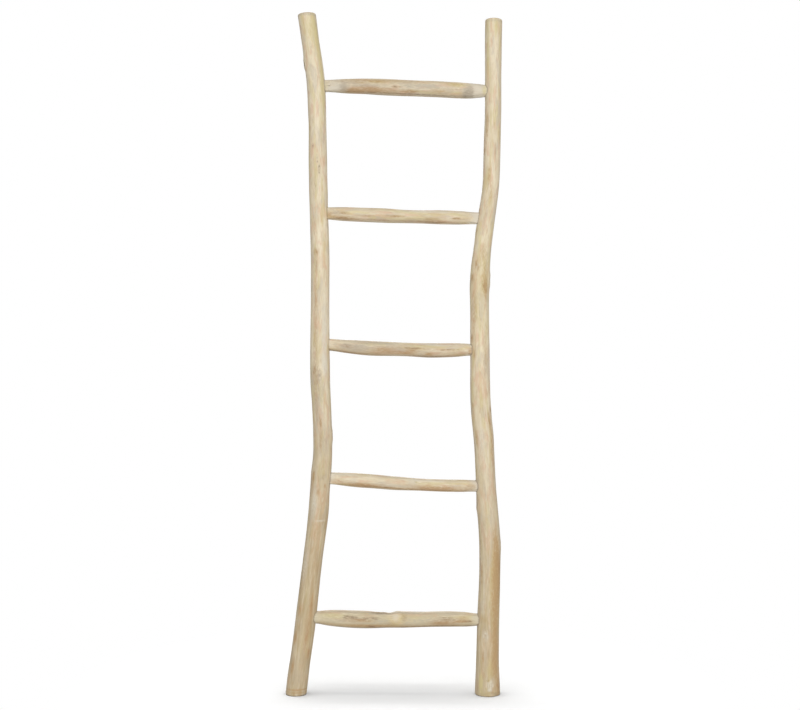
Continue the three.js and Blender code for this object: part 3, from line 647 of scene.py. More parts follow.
def cut(piece, holes):
    """Cuts closed shapes out of a piece, one after the other, and keeps the result as its mesh."""
    for number, (points, faces) in enumerate(holes):
        drill = mesh_object(f"drill_{number}", points, faces)
        bore = piece.modifiers.new("bore", "BOOLEAN")
        bore.operation, bore.solver, bore.object = "DIFFERENCE", "MANIFOLD", drill
        evaluated = piece.evaluated_get(bpy.context.evaluated_depsgraph_get())
        mesh = bpy.data.meshes.new_from_object(evaluated)
        piece.modifiers.clear()
        old, piece.data = piece.data, mesh
        bpy.data.meshes.remove(old)
        bpy.data.objects.remove(drill)


def points_of(piece):
    """The points of a piece's mesh, in millimetres."""
    flat = np.empty(len(piece.data.vertices) * 3, np.float32)
    piece.data.vertices.foreach_get("co", flat)
    return flat.reshape(-1, 3).astype(float) / MM


def store(piece, name, values):
    """Keeps three or four numbers for each point of a mesh under a name that its material reads."""
    kind, field = ("FLOAT_VECTOR", "vector") if values.shape[1] == 3 else ("FLOAT_COLOR", "color")
    attribute = piece.data.attributes.new(name, kind, "POINT")
    attribute.data.foreach_set(field, values.astype(np.float32).ravel())


def stains_and_painted_light(branch, level, angle):
    """How dark, brown, yellow and grey each point is: the sum of the bell curves of its stains and painted
    light.
    """
    total = np.zeros((len(level), 4))
    for at, degrees, half_length, half_width, *tones in STAINS_AND_PAINTED_LIGHT[branch.node]:
        bell = branch.bell(level, angle, at, degrees, half_length, half_width)
        total[:, : len(tones)] += bell[:, None] * np.array(tones)
    return np.clip(total, -1, 1)


def dress(piece, branch, settings, masks, others):
    """Stores what the wood's material reads: straightened grain, stains and painted light, knots, joints
    and given masks.

    The grain has its two first coordinates across the branch and its third along it, in millimetres. Near
    a knot the turn from it is squeezed by a bell curve, so that the fibres bow round it. A joint is where
    one of the other branches comes out of this one's surface. It is given with its radius there, and with
    how much its front is cut off. Its dark line is partly the joint's own gap and partly painted shade in
    the crease.
    """
    points = points_of(piece)
    level, angle, distance = branch.unrolled(points)
    turned = twisted(angle, level, settings)
    nearest, tone_there = np.full(len(level), NO_KNOT), np.zeros(len(level))
    for reach, turn, _, tone in branch.knot_reaches(level, angle):
        turned = turned - BOW * turn * np.exp(-((reach / BOW_REACH) ** 2))
        tone_there = np.where(reach < nearest, tone, tone_there)
        nearest = np.minimum(nearest, reach)
    joint_line_and_shade = np.zeros(len(level))
    for other, radius, front_cut in others:
        along, around, away = other.unrolled(points)
        gap = away - (other.round_radius(along) if radius is None else radius)
        if front_cut:
            gap = np.maximum(gap, -away * np.cos(around) - radius + front_cut)
        inside = (along > other.low) & (along < other.high)
        # The dark line at a joint: partly its own gap, partly painted shade in the crease.
        joint_line_and_shade = np.maximum(joint_line_and_shade, inside * smooth_step(settings.joint_shade, JOINT_DARKEST, gap))
    along_grain = level + GRAIN_SHIFT * branch.number
    grain = np.stack([distance * np.cos(turned), distance * np.sin(turned), along_grain], -1)
    store(piece, "grain", grain)
    store(piece, "stains_and_light", stains_and_painted_light(branch, level, angle))
    store(piece, "knot", np.stack([nearest, tone_there, joint_line_and_shade], -1))
    store(piece, "masks", masks(level, angle, distance))


def finish_piece(piece, node, material):
    """Marks the sharp edges, gives the piece its material and lets it stand for its CAD node."""
    piece.data.set_sharp_from_angle(angle=math.radians(SHARP_EDGE))
    piece.data.materials.clear()
    piece.data.materials.append(material)
    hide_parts(node)
    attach(piece, BODY)


def top_slope(node):
    """How far the sawn top of a rail rises towards +X, from the mean normal of the faces up there.

    Those are the faces near the top whose normals point upwards much more than sideways.
    """
    near, upright = 6, 4
    points, triangles = solid_of(node)
    corners = points[triangles]
    normals = np.cross(corners[:, 1] - corners[:, 0], corners[:, 2] - corners[:, 0])
    sideways = abs(normals[:, :2]).max(1)
    flat = (corners[..., Z].min(1) > points[:, Z].max() - near) & (normals[:, Z] > upright * sideways)
    return -normals[flat, X].sum() / normals[flat, Z].sum()


def tenon_ends(rung):
    """The middles of a rung's two end faces, and its tenon's radius, read from its solid."""
    ends = np.array([rung.low, rung.high])
    middles = rung.place(ends, 0.0, 0.0)
    return middles, rung.round_radius(ends)


def nail_place(node):
    """The point and the head of a nail's axis, and the radii of its shank and head, from its solid."""
    points, _ = solid_of(node)
    low, high = points.min(0), points.max(0)
    middle = (low + high) / 2
    shank = points[points[:, Y] < middle[Y]]
    tip, head = middle.copy(), middle.copy()
    tip[Y], head[Y] = low[Y], high[Y]
    return tip, head, (shank[:, Z].max() - shank[:, Z].min()) / 2, (high[Z] - low[Z]) / 2


def socket_holes(rungs, end, clearance):
    """The sockets of one rail, each a little wider and deeper than the tenon that it takes."""
    holes = []
    for rung in rungs:
        middles, radii = tenon_ends(rung)
        way = middles[end] - middles[1 - end]
        outward = way / np.linalg.norm(way)
        bottom = middles[end] + outward * clearance
        mouth = bottom - outward * SOCKET_DRILL
        front_cut = FRONT_CUTS[rung.node][end]
        holes.append(cylinder(mouth, bottom, radii[end] + clearance, SOCKET_SIDES, front_cut))
    return holes


def nail_holes(side, clearance, numbers):
    """For each nail of one side, the pocket of its head and the bore of its shank."""
    back = np.array([0, 1.0, 0])
    holes = []
    for number in numbers:
        tip, head, shank, wide = nail_place(f"nail_{number}_{side}")
        outside = head + NAIL_DRILL * back
        pocket = head - (HEAD_THICKNESS + clearance) * back
        holes.append(cylinder(outside, pocket, wide + clearance, POCKET_SIDES))
        holes.append(cylinder(outside, tip - clearance * back, shank + clearance, BORE_SIDES))
    return holes


def rail_piece(rail, rungs, end, settings, material):
    """One rail: P(s, a) = middle(s) + k(s) (radius(s) + relief(s, a) - inset(s)) (cos a, sin a).

    Over its sawn ends k runs from 0 to 1 and the inset follows a quarter circle. At the top the rings tip
    over to the slope of the saw cut, and the saw has left fine ridges on both faces.
    """
    slope = top_slope(rail.node)
    top = rail.high - abs(slope) * rail.round_radius(rail.high)
    sizes = (settings.end_rounding, RAIL_END_RINGS, settings.row_step, settings.rail_sides)
    level, angle, share, inset = ring_grid(rail.low, top, *sizes)
    relief = rail.bump(level, angle) + rail.fibre_relief(level, angle, settings)
    points = rail.place(level, angle, share * (rail.round_radius(level) + relief - inset))
    out = points[..., X] - rail.middle(level)[0]
    tip = np.clip(1 - (top - level) / settings.cut_reach, 0, 1)
    facing = (share < 1) * np.sign(level - top / 2)
    ridges = np.sin(out * RIDGES + RIDGE_SWAY * np.sin(points[..., Y] * RIDGE_BEND)) - 1
    points[..., Z] += slope * tip * out + facing * settings.saw_depth * ridges
    poles = rail.place(np.array([rail.low, top]), 0.0, 0.0)
    piece = mesh_object(f"{rail.node}_branch", *closed_grid(points, poles))
    cut(piece, socket_holes(rungs, end, settings.clearance))
    cut(piece, nail_holes(SIDES[end], settings.clearance, range(1, RUNG_COUNT + 1)))
    foot_shade_share, foot_shade_range = FOOT_TONES_AND_SHADE[rail.node]

    def masks(level, angle, distance):
        """Sawn ends and bores, whittled parts (none here), and how near the rail's bottom it is, for a
        deeper tone that is partly painted shade.
        """
        away = np.minimum(level - rail.low, top + slope * distance * np.cos(angle) - level)
        bored = distance < RAIL_BORED * rail.round_radius(level)
        sawn = (away < RAIL_SAWN * settings.end_rounding) | bored
        foot_tone_and_shade = foot_shade_share * smooth_step(*foot_shade_range, level)
        return np.stack([sawn.astype(float), 0 * level, foot_tone_and_shade], -1)

    joints = [(rung, tenon_ends(rung)[1][end], FRONT_CUTS[rung.node][end]) for rung in rungs]
    dress(piece, rail, settings, masks, joints)
    finish_piece(piece, rail.node, material)


def whittled(rung, level, angle, radius, seats, settings):
    """The radius of a rung after its ends are cut to flats.

    Each flat is a plane square to its own angle: radius = p / cos(turn from that angle). p is a little
    less than the rung's radius at the seat and grows along the flat until the cut runs out. The angles,
    lengths and depths of the flats vary at random. One more flat faces the front.
    """
    rng = np.random.default_rng(100 + rung.number)
    for seat, inward, front_cut in zip(seats, (1, -1), FRONT_CUTS[rung.node]):
        away = inward * (level - seat)
        lift = (front_cut + FRONT_LIFT) * smooth_step(0, settings.front_run, away)
        plane = rung.round_radius(seat) - front_cut + lift
        radius = np.minimum(radius, plane / np.maximum(-np.cos(angle), STEEPEST))
        for k in range(settings.flats):
            facing = (k + rng.uniform(*FACING_RANGE)) / settings.flats * TURN
            runs = settings.flat_length * rng.uniform(*RUN_RANGE)
            deep = rng.uniform(*DEPTH_RANGE) * settings.flat_depth
            rise = smooth_step(LIFT_START * runs, LIFT_END * runs, away)
            lift = FLAT_LIFT * settings.flat_depth * rise
            plane = rung.round_radius(level) - np.where(away < 0, TENON_SHARE, 1) * deep + lift
            cosine = np.cos(angle_between(angle, facing))
            radius = np.minimum(radius, plane / np.maximum(cosine, STEEPEST))
    return radius


def rung_piece(rung, rails, seats, settings, material):
    """One rung: P(s, a) = middle(s) + k(s) (whittled radius(s, a) - inset(s)) (cos a, sin a).

    It runs from the end of one tenon to the end of the other. Inside the sockets it has no relief.
    """
    sizes = (settings.tenon_chamfer, TENON_END_RINGS, RUNG_STEP * settings.row_step, settings.rung_sides)
    level, angle, share, inset = ring_grid(rung.low, rung.high, *sizes)
    from_seats = np.minimum(level - seats[0], seats[1] - level)
    outside = smooth_step(RELIEF_START, RELIEF_END, from_seats)
    relief = rung.bump(level, angle) + rung.fibre_relief(level, angle, settings)
    radius = rung.round_radius(level) + outside * relief
    radius = whittled(rung, level, angle, radius, seats, settings)
    points = rung.place(level, angle, share * (radius - inset))
    poles = rung.place(np.array([rung.low, rung.high]), 0.0, 0.0)
    piece = mesh_object(f"{rung.node}_branch", *closed_grid(points, poles))
    number = int(rung.node.split("_")[1])
    for side in SIDES:
        cut(piece, nail_holes(side, settings.clearance, [number]))

    def masks(level, angle, distance):
        """End grain, whittled wood with a ragged edge, and the skin left in patches, mostly underneath,
        where the darker skin is also painted shade.
        """
        away = np.minimum(level - rung.low, rung.high - level)
        sawn = (away < RUNG_SAWN) | (distance < RUNG_BORED * rung.round_radius(level))
        ragged = RAGGED * ripples(RAGGED_EDGE[0], level, angle, *RAGGED_EDGE[1])
        bare = np.maximum(*(
            smooth_step(reach + FADE_OUT, reach - FADE_IN, from_seat + ragged)
            for reach, from_seat in zip(BARE_ENDS[rung.node], (level - seats[0], seats[1] - level))
        ))
        # The underside gets more of the brown skin colour: real skin, and painted shade as well.
        below = smooth_step(*UNDERSIDE, np.sin(angle))
        patches = 0.5 + 0.5 * ripples(PATCHES[0], level, angle, *PATCHES[1])
        skin = RUNG_SKIN_AND_SHADE[rung.node] * (SKIN_PATCHES * patches + SKIN_BELOW_AND_SHADE * below)
        skin = np.clip(skin, 0, 1) * (1 - SKIN_SHAVED * bare)
        return np.stack([sawn.astype(float), bare, skin], -1)

    dress(piece, rung, settings, masks, [(rail, None, 0) for rail in rails])
    finish_piece(piece, rung.node, material)


def read_branches():
    """Both rails, all rungs from the bottom up, and the two levels where each rung enters the rails."""
    rungs = [Branch(f"rung_{number}", X) for number in range(1, RUNG_COUNT + 1)]
    rails = [Branch("rail_left", Z), Branch("rail_right", Z)]
    seats = []
    for rung in rungs:
        height = rung.middle(np.array([rung.low, rung.high]))[1]
        pair = []
        for rail, level, side in zip(rails, height, (1, -1)):
            inward = 0.0 if side > 0 else math.pi
            reach = rail.round_radius(level) + rail.bump(np.array([level]), np.array([inward]))[0]
            pair.append(rail.middle(level)[0] + side * reach)
        seats.append(pair)
    return rails, rungs, seats


def nail_piece(node, material):
    """One nail as a turned profile, (radius, distance back from the head) carried round its axis.

    The head is a flat dome with a rounded rim, and the shank ends in a point.
    """
    tip, head, shank, wide = nail_place(node)
    length = head[Y] - tip[Y]
    dome, rim = np.linspace(0.12, 1, 8), np.linspace(0, 1, 5)[1:]
    bulge = DOME_SHARE + (1 - DOME_SHARE) * np.sin(rim * math.pi / 2)
    profile = np.concatenate([
        np.stack([wide * DOME_SHARE * dome, DOME_DROP * dome**2], -1),
        np.stack([wide * bulge, DOME_DROP + RIM_DROP * rim], -1),
        [(wide, 1.0), (wide * 0.94, HEAD_THICKNESS), (shank * 1.1, HEAD_THICKNESS + 0.02), (shank, 1.6)],
        [(shank, length - POINT_LENGTH), (shank * 0.45, length - 1.1), (0.08, length - 0.1)],
    ])
    angle = np.arange(NAIL_SIDES) / NAIL_SIDES * TURN
    points = np.empty((len(profile), len(angle), 3))
    points[..., X] = head[X] + profile[:, :1] * np.cos(angle)
    points[..., Y] = head[Y] - profile[:, 1:]
    points[..., Z] = head[Z] + profile[:, :1] * np.sin(angle)
    piece = mesh_object(f"{node}_forged", *closed_grid(points, np.stack([head, tip])))
    finish_piece(piece, node, material)


def node(tree, kind, inputs=(), **settings):
    """A new shader node. An input given as a socket is linked, and any other is set as its value."""
    made = tree.nodes.new(kind)
    for name, value in settings.items():
        setattr(made, name, value)
    for key, value in dict(inputs).items():
        if isinstance(value, bpy.types.NodeSocket):
            tree.links.new(value, made.inputs[key])
        else:
            made.inputs[key].default_value = value
    return made


def maths(tree, operation, a, b=0.0, clamp=False):
    """One sum on one or two numbers."""
    return node(tree, "ShaderNodeMath", {0: a, 1: b}, operation=operation, use_clamp=clamp).outputs[0]


def between(tree, value, low, high, bottom=0.0, top=1.0):
    """value's place between low and high, as a number from bottom to top."""
    inputs = {"Value": value, "From Min": low, "From Max": high, "To Min": bottom, "To Max": top}
    return node(tree, "ShaderNodeMapRange", inputs).outputs["Result"]


def mixed(tree, share, a, b, blend="MIX"):
    """Colour b over colour a, by a share from 0 to 1."""
    inputs = {0: share, 6: a, 7: b}
    return node(tree, "ShaderNodeMix", inputs, data_type="RGBA", blend_type=blend).outputs[2]


def read(tree, name, output="Vector"):
    """A value that the mesh keeps for each of its points."""
    return node(tree, "ShaderNodeAttribute", attribute_name=name).outputs[output]


def vector_maths(tree, operation, a, b=(0, 0, 0)):
    """One sum on one or two vectors."""
    return node(tree, "ShaderNodeVectorMath", {0: a, 1: b}, operation=operation).outputs


def colour_of(settings, title):
    """A colour property as four numbers."""
    return (*getattr(settings, title), 1.0)


def blank_tree(owner):
    """The node tree of a material or a world, emptied."""
    owner.use_nodes = True
    owner.node_tree.nodes.clear()
    return owner.node_tree


def group_start(name, inputs, outputs):
    """A new shader node group, and the sockets inside it. All are numbers, apart from the grain."""
    tree = bpy.data.node_groups.new(name, "ShaderNodeTree")
    for title, default in inputs.items():
        kind = "NodeSocketVector" if title == "Grain" else "NodeSocketFloat"
        tree.interface.new_socket(title, in_out="INPUT", socket_type=kind).default_value = default
    for title in outputs:
        tree.interface.new_socket(title, in_out="OUTPUT", socket_type="NodeSocketFloat")
    return tree, tree.nodes.new("NodeGroupInput").outputs, tree.nodes.new("NodeGroupOutput").inputs


def placed(tree, group, inputs):
    """The outputs of a node group placed in a tree with its own values."""
    return node(tree, "ShaderNodeGroup", inputs, node_tree=group).outputs


def fibre_group():
    """Streaks that run along the grain: noise on the grain divided by their width and length."""
    inputs = {"Grain": (0, 0, 0), "Width": 1.0, "Length": 50.0, "Seed": 0.0, "Low": 0.35, "High": 0.65}
    tree, given, result = group_start("Wood fibres", inputs, ["Value"])
    size = node(tree, "ShaderNodeCombineXYZ", {0: given["Width"], 1: given["Width"], 2: given["Length"]})
    scaled = vector_maths(tree, "DIVIDE", given["Grain"], size.outputs[0])[0]
    moved = vector_maths(tree, "ADD", scaled, given["Seed"])[0]
    settings = {"Vector": moved, "Scale": 1.0, "Detail": 3.0, "Roughness": 0.55, "Distortion": 0.3}
    noise = node(tree, "ShaderNodeTexNoise", settings)
    tree.links.new(between(tree, noise.outputs[0], given["Low"], given["High"]), result["Value"])
    return tree


def knot_group():
    """The eye of a knot and its rings: a wave of the distance from the eye, which fades outwards."""
    tree, given, result = group_start("Knot", {"Distance": NO_KNOT, "Fibres": 0.5}, ["Eye", "Rings"])
    ragged = maths(tree, "ADD", given["Distance"], maths(tree, "MULTIPLY", given["Fibres"], KNOT_RAGGED))
    wave = maths(tree, "SINE", maths(tree, "MULTIPLY", ragged, KNOT_WAVE))
    fade = between(tree, ragged, *RINGS_FADE)
    rings = maths(tree, "MULTIPLY", between(tree, wave, -0.2, 1.0), fade)
    tree.links.new(between(tree, ragged, *EYE_FADE), result["Eye"])
    tree.links.new(rings, result["Rings"])
    return tree


def end_grain_group():
    """Growth rings and rays of a sawn end, from the distance to the pith and the angle round it."""
    tree, given, result = group_start("End grain", {"Grain": (0, 0, 0)}, ["Rings", "Rays"])
    flat = vector_maths(tree, "MULTIPLY", given["Grain"], (1, 1, 0))[0]
    wobble = node(tree, "ShaderNodeTexNoise", {"Vector": flat, "Scale": WOBBLE_SCALE, "Detail": 2.0})
    pith = vector_maths(tree, "LENGTH", flat)["Value"]
    reach = maths(tree, "ADD", pith, maths(tree, "MULTIPLY", wobble.outputs[0], WOBBLE))
    wave = maths(tree, "SINE", maths(tree, "MULTIPLY", reach, RING_WAVE))
    across, up, _ = node(tree, "ShaderNodeSeparateXYZ", {0: flat}).outputs
    turn = maths(tree, "MULTIPLY", maths(tree, "ARCTAN2", up, across), RAY_SCALE)
    spokes = node(tree, "ShaderNodeTexNoise", {"W": turn, "Scale": 1.0}, noise_dimensions="1D")
    tree.links.new(between(tree, wave, -0.3, 1.0), result["Rings"])
    tree.links.new(between(tree, spokes.outputs[0], 0.5, 0.75), result["Rays"])
    return tree


def dulling_group():
    """Dull spots on metal, from noise on the object's own coordinates."""
    tree, given, result = group_start("Metal dulling", {"Scale": 900.0}, ["Spots"])
    place = node(tree, "ShaderNodeTexCoord").outputs["Object"]
    noise = node(tree, "ShaderNodeTexNoise", {"Vector": place, "Scale": given["Scale"], "Detail": 4.0})
    tree.links.new(between(tree, noise.outputs[0], 0.42, 0.62), result["Spots"])
    return tree


def shared(name, build):
    """A node group that is built once and then found by its name."""
    return bpy.data.node_groups.get(name) or build()


def wood(name, colours, foot_or_skin_with_shade):
    """Peeled branch wood. foot_or_skin_with_shade names the colour that the third mask brings in, a deeper
    tone that is partly painted shade.

    Base colour: a pale wood streaked with tan, peach, olive and grey, darkened by fine fibres and pores,
    then stains with painted shade and painted highlights among them, knots, whittled wood and sawn ends
    over it. The deeper tone of the foot and the skin and the dark line of the joints are partly painted
    shade.
    """
    material = bpy.data.materials.new(name)
    tree = blank_tree(material)
    grain = read(tree, "grain")
    stains_and_light = node(tree, "ShaderNodeAttribute", attribute_name="stains_and_light").outputs
    # The dark and brown channels also carry painted shade lines, and a negative grey also painted
    # highlights.
    dark, brown, yellow = node(tree, "ShaderNodeSeparateColor", {0: stains_and_light["Color"]}).outputs
    grey = stains_and_light["Alpha"]
    sawn, bare, tone_and_shade_mask = node(tree, "ShaderNodeSeparateXYZ", {0: read(tree, "masks")}).outputs
    distance, eye_tone, joint_line_and_shade = node(tree, "ShaderNodeSeparateXYZ", {0: read(tree, "knot")}).outputs
    fibres = shared("Wood fibres", fibre_group)

    def times(a, b):
        """Two values multiplied."""
        return maths(tree, "MULTIPLY", a, b)

    def over(base, share, mask, title):
        """A base with one of the colours over it, as much as a share of a mask says."""
        return mixed(tree, times(mask, share), base, colour_of(colours, title))

    def streaks(width, length, seed, low=0.35, high=0.65):
        """Streaks of one width and length."""
        sizes = {"Width": width, "Length": length, "Seed": seed}
        return placed(tree, fibres, {"Grain": grain, "Low": low, "High": high, **sizes})["Value"]

    fine, broken, dashes, pores = (streaks(*fibre) for fibre in (FINE, BROKEN, DASHES, PORES))
    patches = between(tree, streaks(*CLOUDS), 0, 1, 0.55, 1.0)

    def torn(mask):
        """A mask whose edge follows the fibres, so that it looks like wood and not like paint."""
        return between(tree, times(mask, between(tree, dashes, 0, 1, 0.35, 1.65)), 0.1, 0.8)

    base = over(colour_of(colours, "pale"), 0.7, streaks(*BROAD), "tan")
    base = over(base, 0.9, torn(times(brown, -1.0)), "pale")
    for share, width, length, seed, low, high, title in STREAKS:
        base = over(base, share, streaks(width, length, seed, low, high), title)
    for share, mask, title in (
        # The deeper tone of the foot or the skin, partly painted shade.
        (0.8, times(tone_and_shade_mask, patches), foot_or_skin_with_shade),
        (0.7, bare, "whittled"),
        (0.5, times(bare, broken), "grey"),
        (0.75, torn(times(grey, -1.0)), "whittled"),
        (0.7, torn(yellow), "yellow"),
        (0.8, torn(grey), "bloom"),
        (0.8, torn(brown), "brown"),
        (0.8, torn(dark), "bark"),
        # Painted shade in a joint's crease, with its dark gap.
        (0.45, torn(joint_line_and_shade), "bark"),
    ):
        base = over(base, share, mask, title)
    knot = placed(tree, shared("Knot", knot_group), {"Distance": distance, "Fibres": broken})
    knot_rings = times(knot["Rings"], eye_tone)
    base = over(base, 0.45, knot_rings, "brown")
    base = over(base, 1.0, times(knot["Eye"], eye_tone), "bark")
    shade = times(between(tree, fine, 0, 1, 0.96, 1.03), between(tree, pores, 0, 1, 1.0, 0.88))
    shade = times(shade, between(tree, broken, 0, 1, 0.97, 1.03))
    tint = node(tree, "ShaderNodeCombineColor", {0: shade, 1: shade, 2: shade}).outputs[0]
    base = mixed(tree, 1.0, base, tint, "MULTIPLY")
    ends = placed(tree, shared("End grain", end_grain_group), {"Grain": grain})
    face = over(colour_of(colours, "end_grain"), 0.55, ends["Rings"], "tan")
    base = mixed(tree, sawn, base, over(face, 0.5, ends["Rays"], "bark"))
    height, end_rings = times(fine, 0.6), times(ends["Rings"], sawn)
    for value, share in ((pores, -0.8), (broken, 0.5), (knot_rings, -0.5), (end_rings, 0.5)):
        height = maths(tree, "ADD", height, times(value, share))
    bump = node(tree, "ShaderNodeBump", {"Strength": 0.7, "Distance": 0.00025, "Height": height})
    rough = between(tree, maths(tree, "ADD", fine, sawn), 0.0, 2.0, 0.55, 0.8)
    inputs = {"Base Color": base, "Roughness": rough, "Specular IOR Level": 0.25}
    inputs["Normal"] = bump.outputs[0]
    surface = node(tree, "ShaderNodeBsdfPrincipled", inputs)
    node(tree, "ShaderNodeOutputMaterial", {"Surface": surface.outputs[0]})
    return material


def nail_metal(name, colours):
    """Bright steel that has dulled in spots."""
    material = bpy.data.materials.new(name)
    tree = blank_tree(material)
    spots = placed(tree, shared("Metal dulling", dulling_group), {"Scale": 1400.0})["Spots"]
    base = mixed(tree, spots, colour_of(colours, "steel"), colour_of(colours, "dull_steel"))
    bump = node(tree, "ShaderNodeBump", {"Strength": 0.3, "Distance": 0.00005, "Height": spots})
    inputs = {"Base Color": base, "Metallic": 1.0, "Normal": bump.outputs[0]}
    inputs["Roughness"] = between(tree, spots, 0, 1, 0.3, 0.55)
    surface = node(tree, "ShaderNodeBsdfPrincipled", inputs)
    node(tree, "ShaderNodeOutputMaterial", {"Surface": surface.outputs[0]})
    return material


def floor_material(settings):
    """A pale floor. The camera sees it lit up to white, and only the ladder's shadow stays grey.

    Near the ladder the camera sees diffuse light plus a glow, and past a ring round it plain white.
    """
    material = bpy.data.materials.new("floor_white")
    tree = blank_tree(material)
    seen = node(tree, "ShaderNodeBsdfDiffuse", {"Color": (settings.floor_seen,) * 3 + (1.0,)})
    glow = node(tree, "ShaderNodeEmission", {"Color": WHITE, "Strength": settings.floor_glow})
    near = node(tree, "ShaderNodeAddShader", {0: seen.outputs[0], 1: glow.outputs[0]})
    white = node(tree, "ShaderNodeEmission", {"Color": WHITE, "Strength": 1.0})
    away = vector_maths(tree, "LENGTH", node(tree, "ShaderNodeTexCoord").outputs["Object"])["Value"]
    far = between(tree, away, settings.shadow_reach * 0.6, settings.shadow_reach)
    shown = node(tree, "ShaderNodeMixShader", {0: far, 1: near.outputs[0], 2: white.outputs[0]})
    lit = node(tree, "ShaderNodeBsdfDiffuse", {"Color": colour_of(settings, "floor_colour")})
    camera = node(tree, "ShaderNodeLightPath").outputs["Is Camera Ray"]
    surface = node(tree, "ShaderNodeMixShader", {0: camera, 1: lit.outputs[0], 2: shown.outputs[0]})
    node(tree, "ShaderNodeOutputMaterial", {"Surface": surface.outputs[0]})
    return material


def white_world(settings):
    """A dim white surround that the camera, gloss and glass see as plain white."""
    world = bpy.data.worlds.new("studio_white")
    tree = blank_tree(world)
    path = node(tree, "ShaderNodeLightPath").outputs
    seen = maths(tree, "ADD", path["Is Camera Ray"], path["Is Glossy Ray"], clamp=True)
    seen = maths(tree, "ADD", seen, path["Is Transmission Ray"], clamp=True)
    strength = between(tree, seen, 0, 1, settings.surround, 1.0)
    back = node(tree, "ShaderNodeBackground", {"Color": WHITE, "Strength": strength})
    node(tree, "ShaderNodeOutputWorld", {"Surface": back.outputs[0]})
    bpy.context.scene.world = world


def softbox(name, shape, place, target, length, width):
    """A flat lamp, in metres, that faces a point."""
    lamp = bpy.data.lights.new(name, "AREA")
    lamp.shape, lamp.size, lamp.size_y = shape, length, width
    made = bpy.data.objects.new(name, lamp)
    made.location = place
    way = np.array(target) - np.array(place)
    made.rotation_euler = (math.acos(-way[2] / np.linalg.norm(way)), 0, math.atan2(-way[0], way[1]))
    bpy.context.scene.collection.objects.link(made)
    return made


def light_only(lamp, target, state):
    """Lets a lamp light only one object, or everything but that object."""
    group = bpy.data.collections.new(f"{lamp.name}_reach")
    group.objects.link(target)
    group.collection_objects[0].light_linking.link_state = state
    lamp.light_linking.receiver_collection = group


def decimal(name, description, default, **limits):
    """A property that holds a number."""
    return FloatProperty(name=name, description=description, default=default, **limits)


def whole(name, description, default, **limits):
    """A property that holds a whole number."""
    return IntProperty(name=name, description=description, default=default, **limits)


def tone(name, description, red, green, blue):
    """A colour property, given as the display colour from 0 to 255 that it renders as."""
    display = np.array([red, green, blue]) / 255
    linear = np.where(display <= 0.04045, display / 12.92, ((display + 0.055) / 1.055) ** 2.4)
    kind = {"size": 3, "subtype": "COLOR", "min": 0.0, "max": 1.0}
    return FloatVectorProperty(name=name, description=description, default=tuple(linear), **kind)


class BranchSettings(bpy.types.PropertyGroup):
    """Sizes of the branches' fine shape, in millimetres where nothing else is said."""

    rail_sides: whole("Rail sides", "Points round a rail", 116, min=12)
    rung_sides: whole("Rung sides", "Points round a rung", 96, min=12)
    row_step: decimal("Row step", "Distance between rows of points", 2.2, min=0.5)
    end_rounding: decimal("Worn edge", "Radius of a sawn end's edge", 3.0, min=0.2)
    tenon_chamfer: decimal("Tenon edge", "Radius of a tenon's edge", 1.5, min=0.2)
    cut_reach: decimal("Cut reach", "Rail length that tips to the top cut", 40.0)
    clearance: decimal("Clearance", "Gap round tenons and nails", 0.3, min=0.05)
    joint_shade: decimal("Joint shade", "Width of the dark line at a joint", 2.2)
    flute_depth: decimal("Flutes", "Depth of the long flutes", 0.38, min=0.0)
    lump_depth: decimal("Lumps", "Height of soft lumps", 0.3, min=0.0)
    fibre_depth: decimal("Fibres", "Depth of fine fibres", 0.07, min=0.0)
    saw_depth: decimal("Saw marks", "Depth of saw marks on the ends", 0.06, min=0.0)
    grain_twist: decimal("Grain twist", "Degrees of spiral a metre", 22.0)
    flats: whole("Flats", "Whittled flats round each rung end", 9, min=3)
    flat_length: decimal("Flat length", "Length of a whittled flat", 44.0, min=5)
    front_run: decimal("Front cut", "Length of the cut at a rung end's front", 46.0)
    flat_depth: decimal("Flat depth", "Wood taken off at a seat", 0.55, min=0.0)


class WoodSettings(bpy.types.PropertyGroup):
    """Colours of the wood and the nails."""

    pale: tone("Pale", "Freshly peeled sapwood", 235, 222, 194)
    tan: tone("Tan", "Broad streaks", 211, 193, 160)
    peach: tone("Peach", "Warm patches", 221, 185, 155)
    yellow: tone("Yellow", "Yellowish patches and stains", 211, 197, 143)
    grey: tone("Grey", "Greyish patches", 208, 196, 176)
    bloom: tone("Bloom", "Grey stains", 188, 177, 158)
    # Partly the wood's own deeper tone, partly painted shade where the light falls off towards the floor.
    foot_tone_and_shade: tone("Foot", "Deeper tone towards the floor", 172, 150, 112)
    # Also the painted shade of the rungs' undersides.
    skin: tone("Skin", "Thin brown skin left on rungs", 154, 128, 97)
    whittled: tone("Whittled", "Bare whittled wood", 222, 215, 198)
    brown: tone("Brown", "Brown streaks and stains", 180, 144, 102)
    bark: tone("Bark", "Remains of bark and eyes of knots", 106, 86, 66)
    end_grain: tone("End grain", "Sawn ends", 206, 181, 142)
    steel: tone("Steel", "Nail heads", 168, 164, 158)
    dull_steel: tone("Dull steel", "Dull spots on nails", 118, 106, 94)


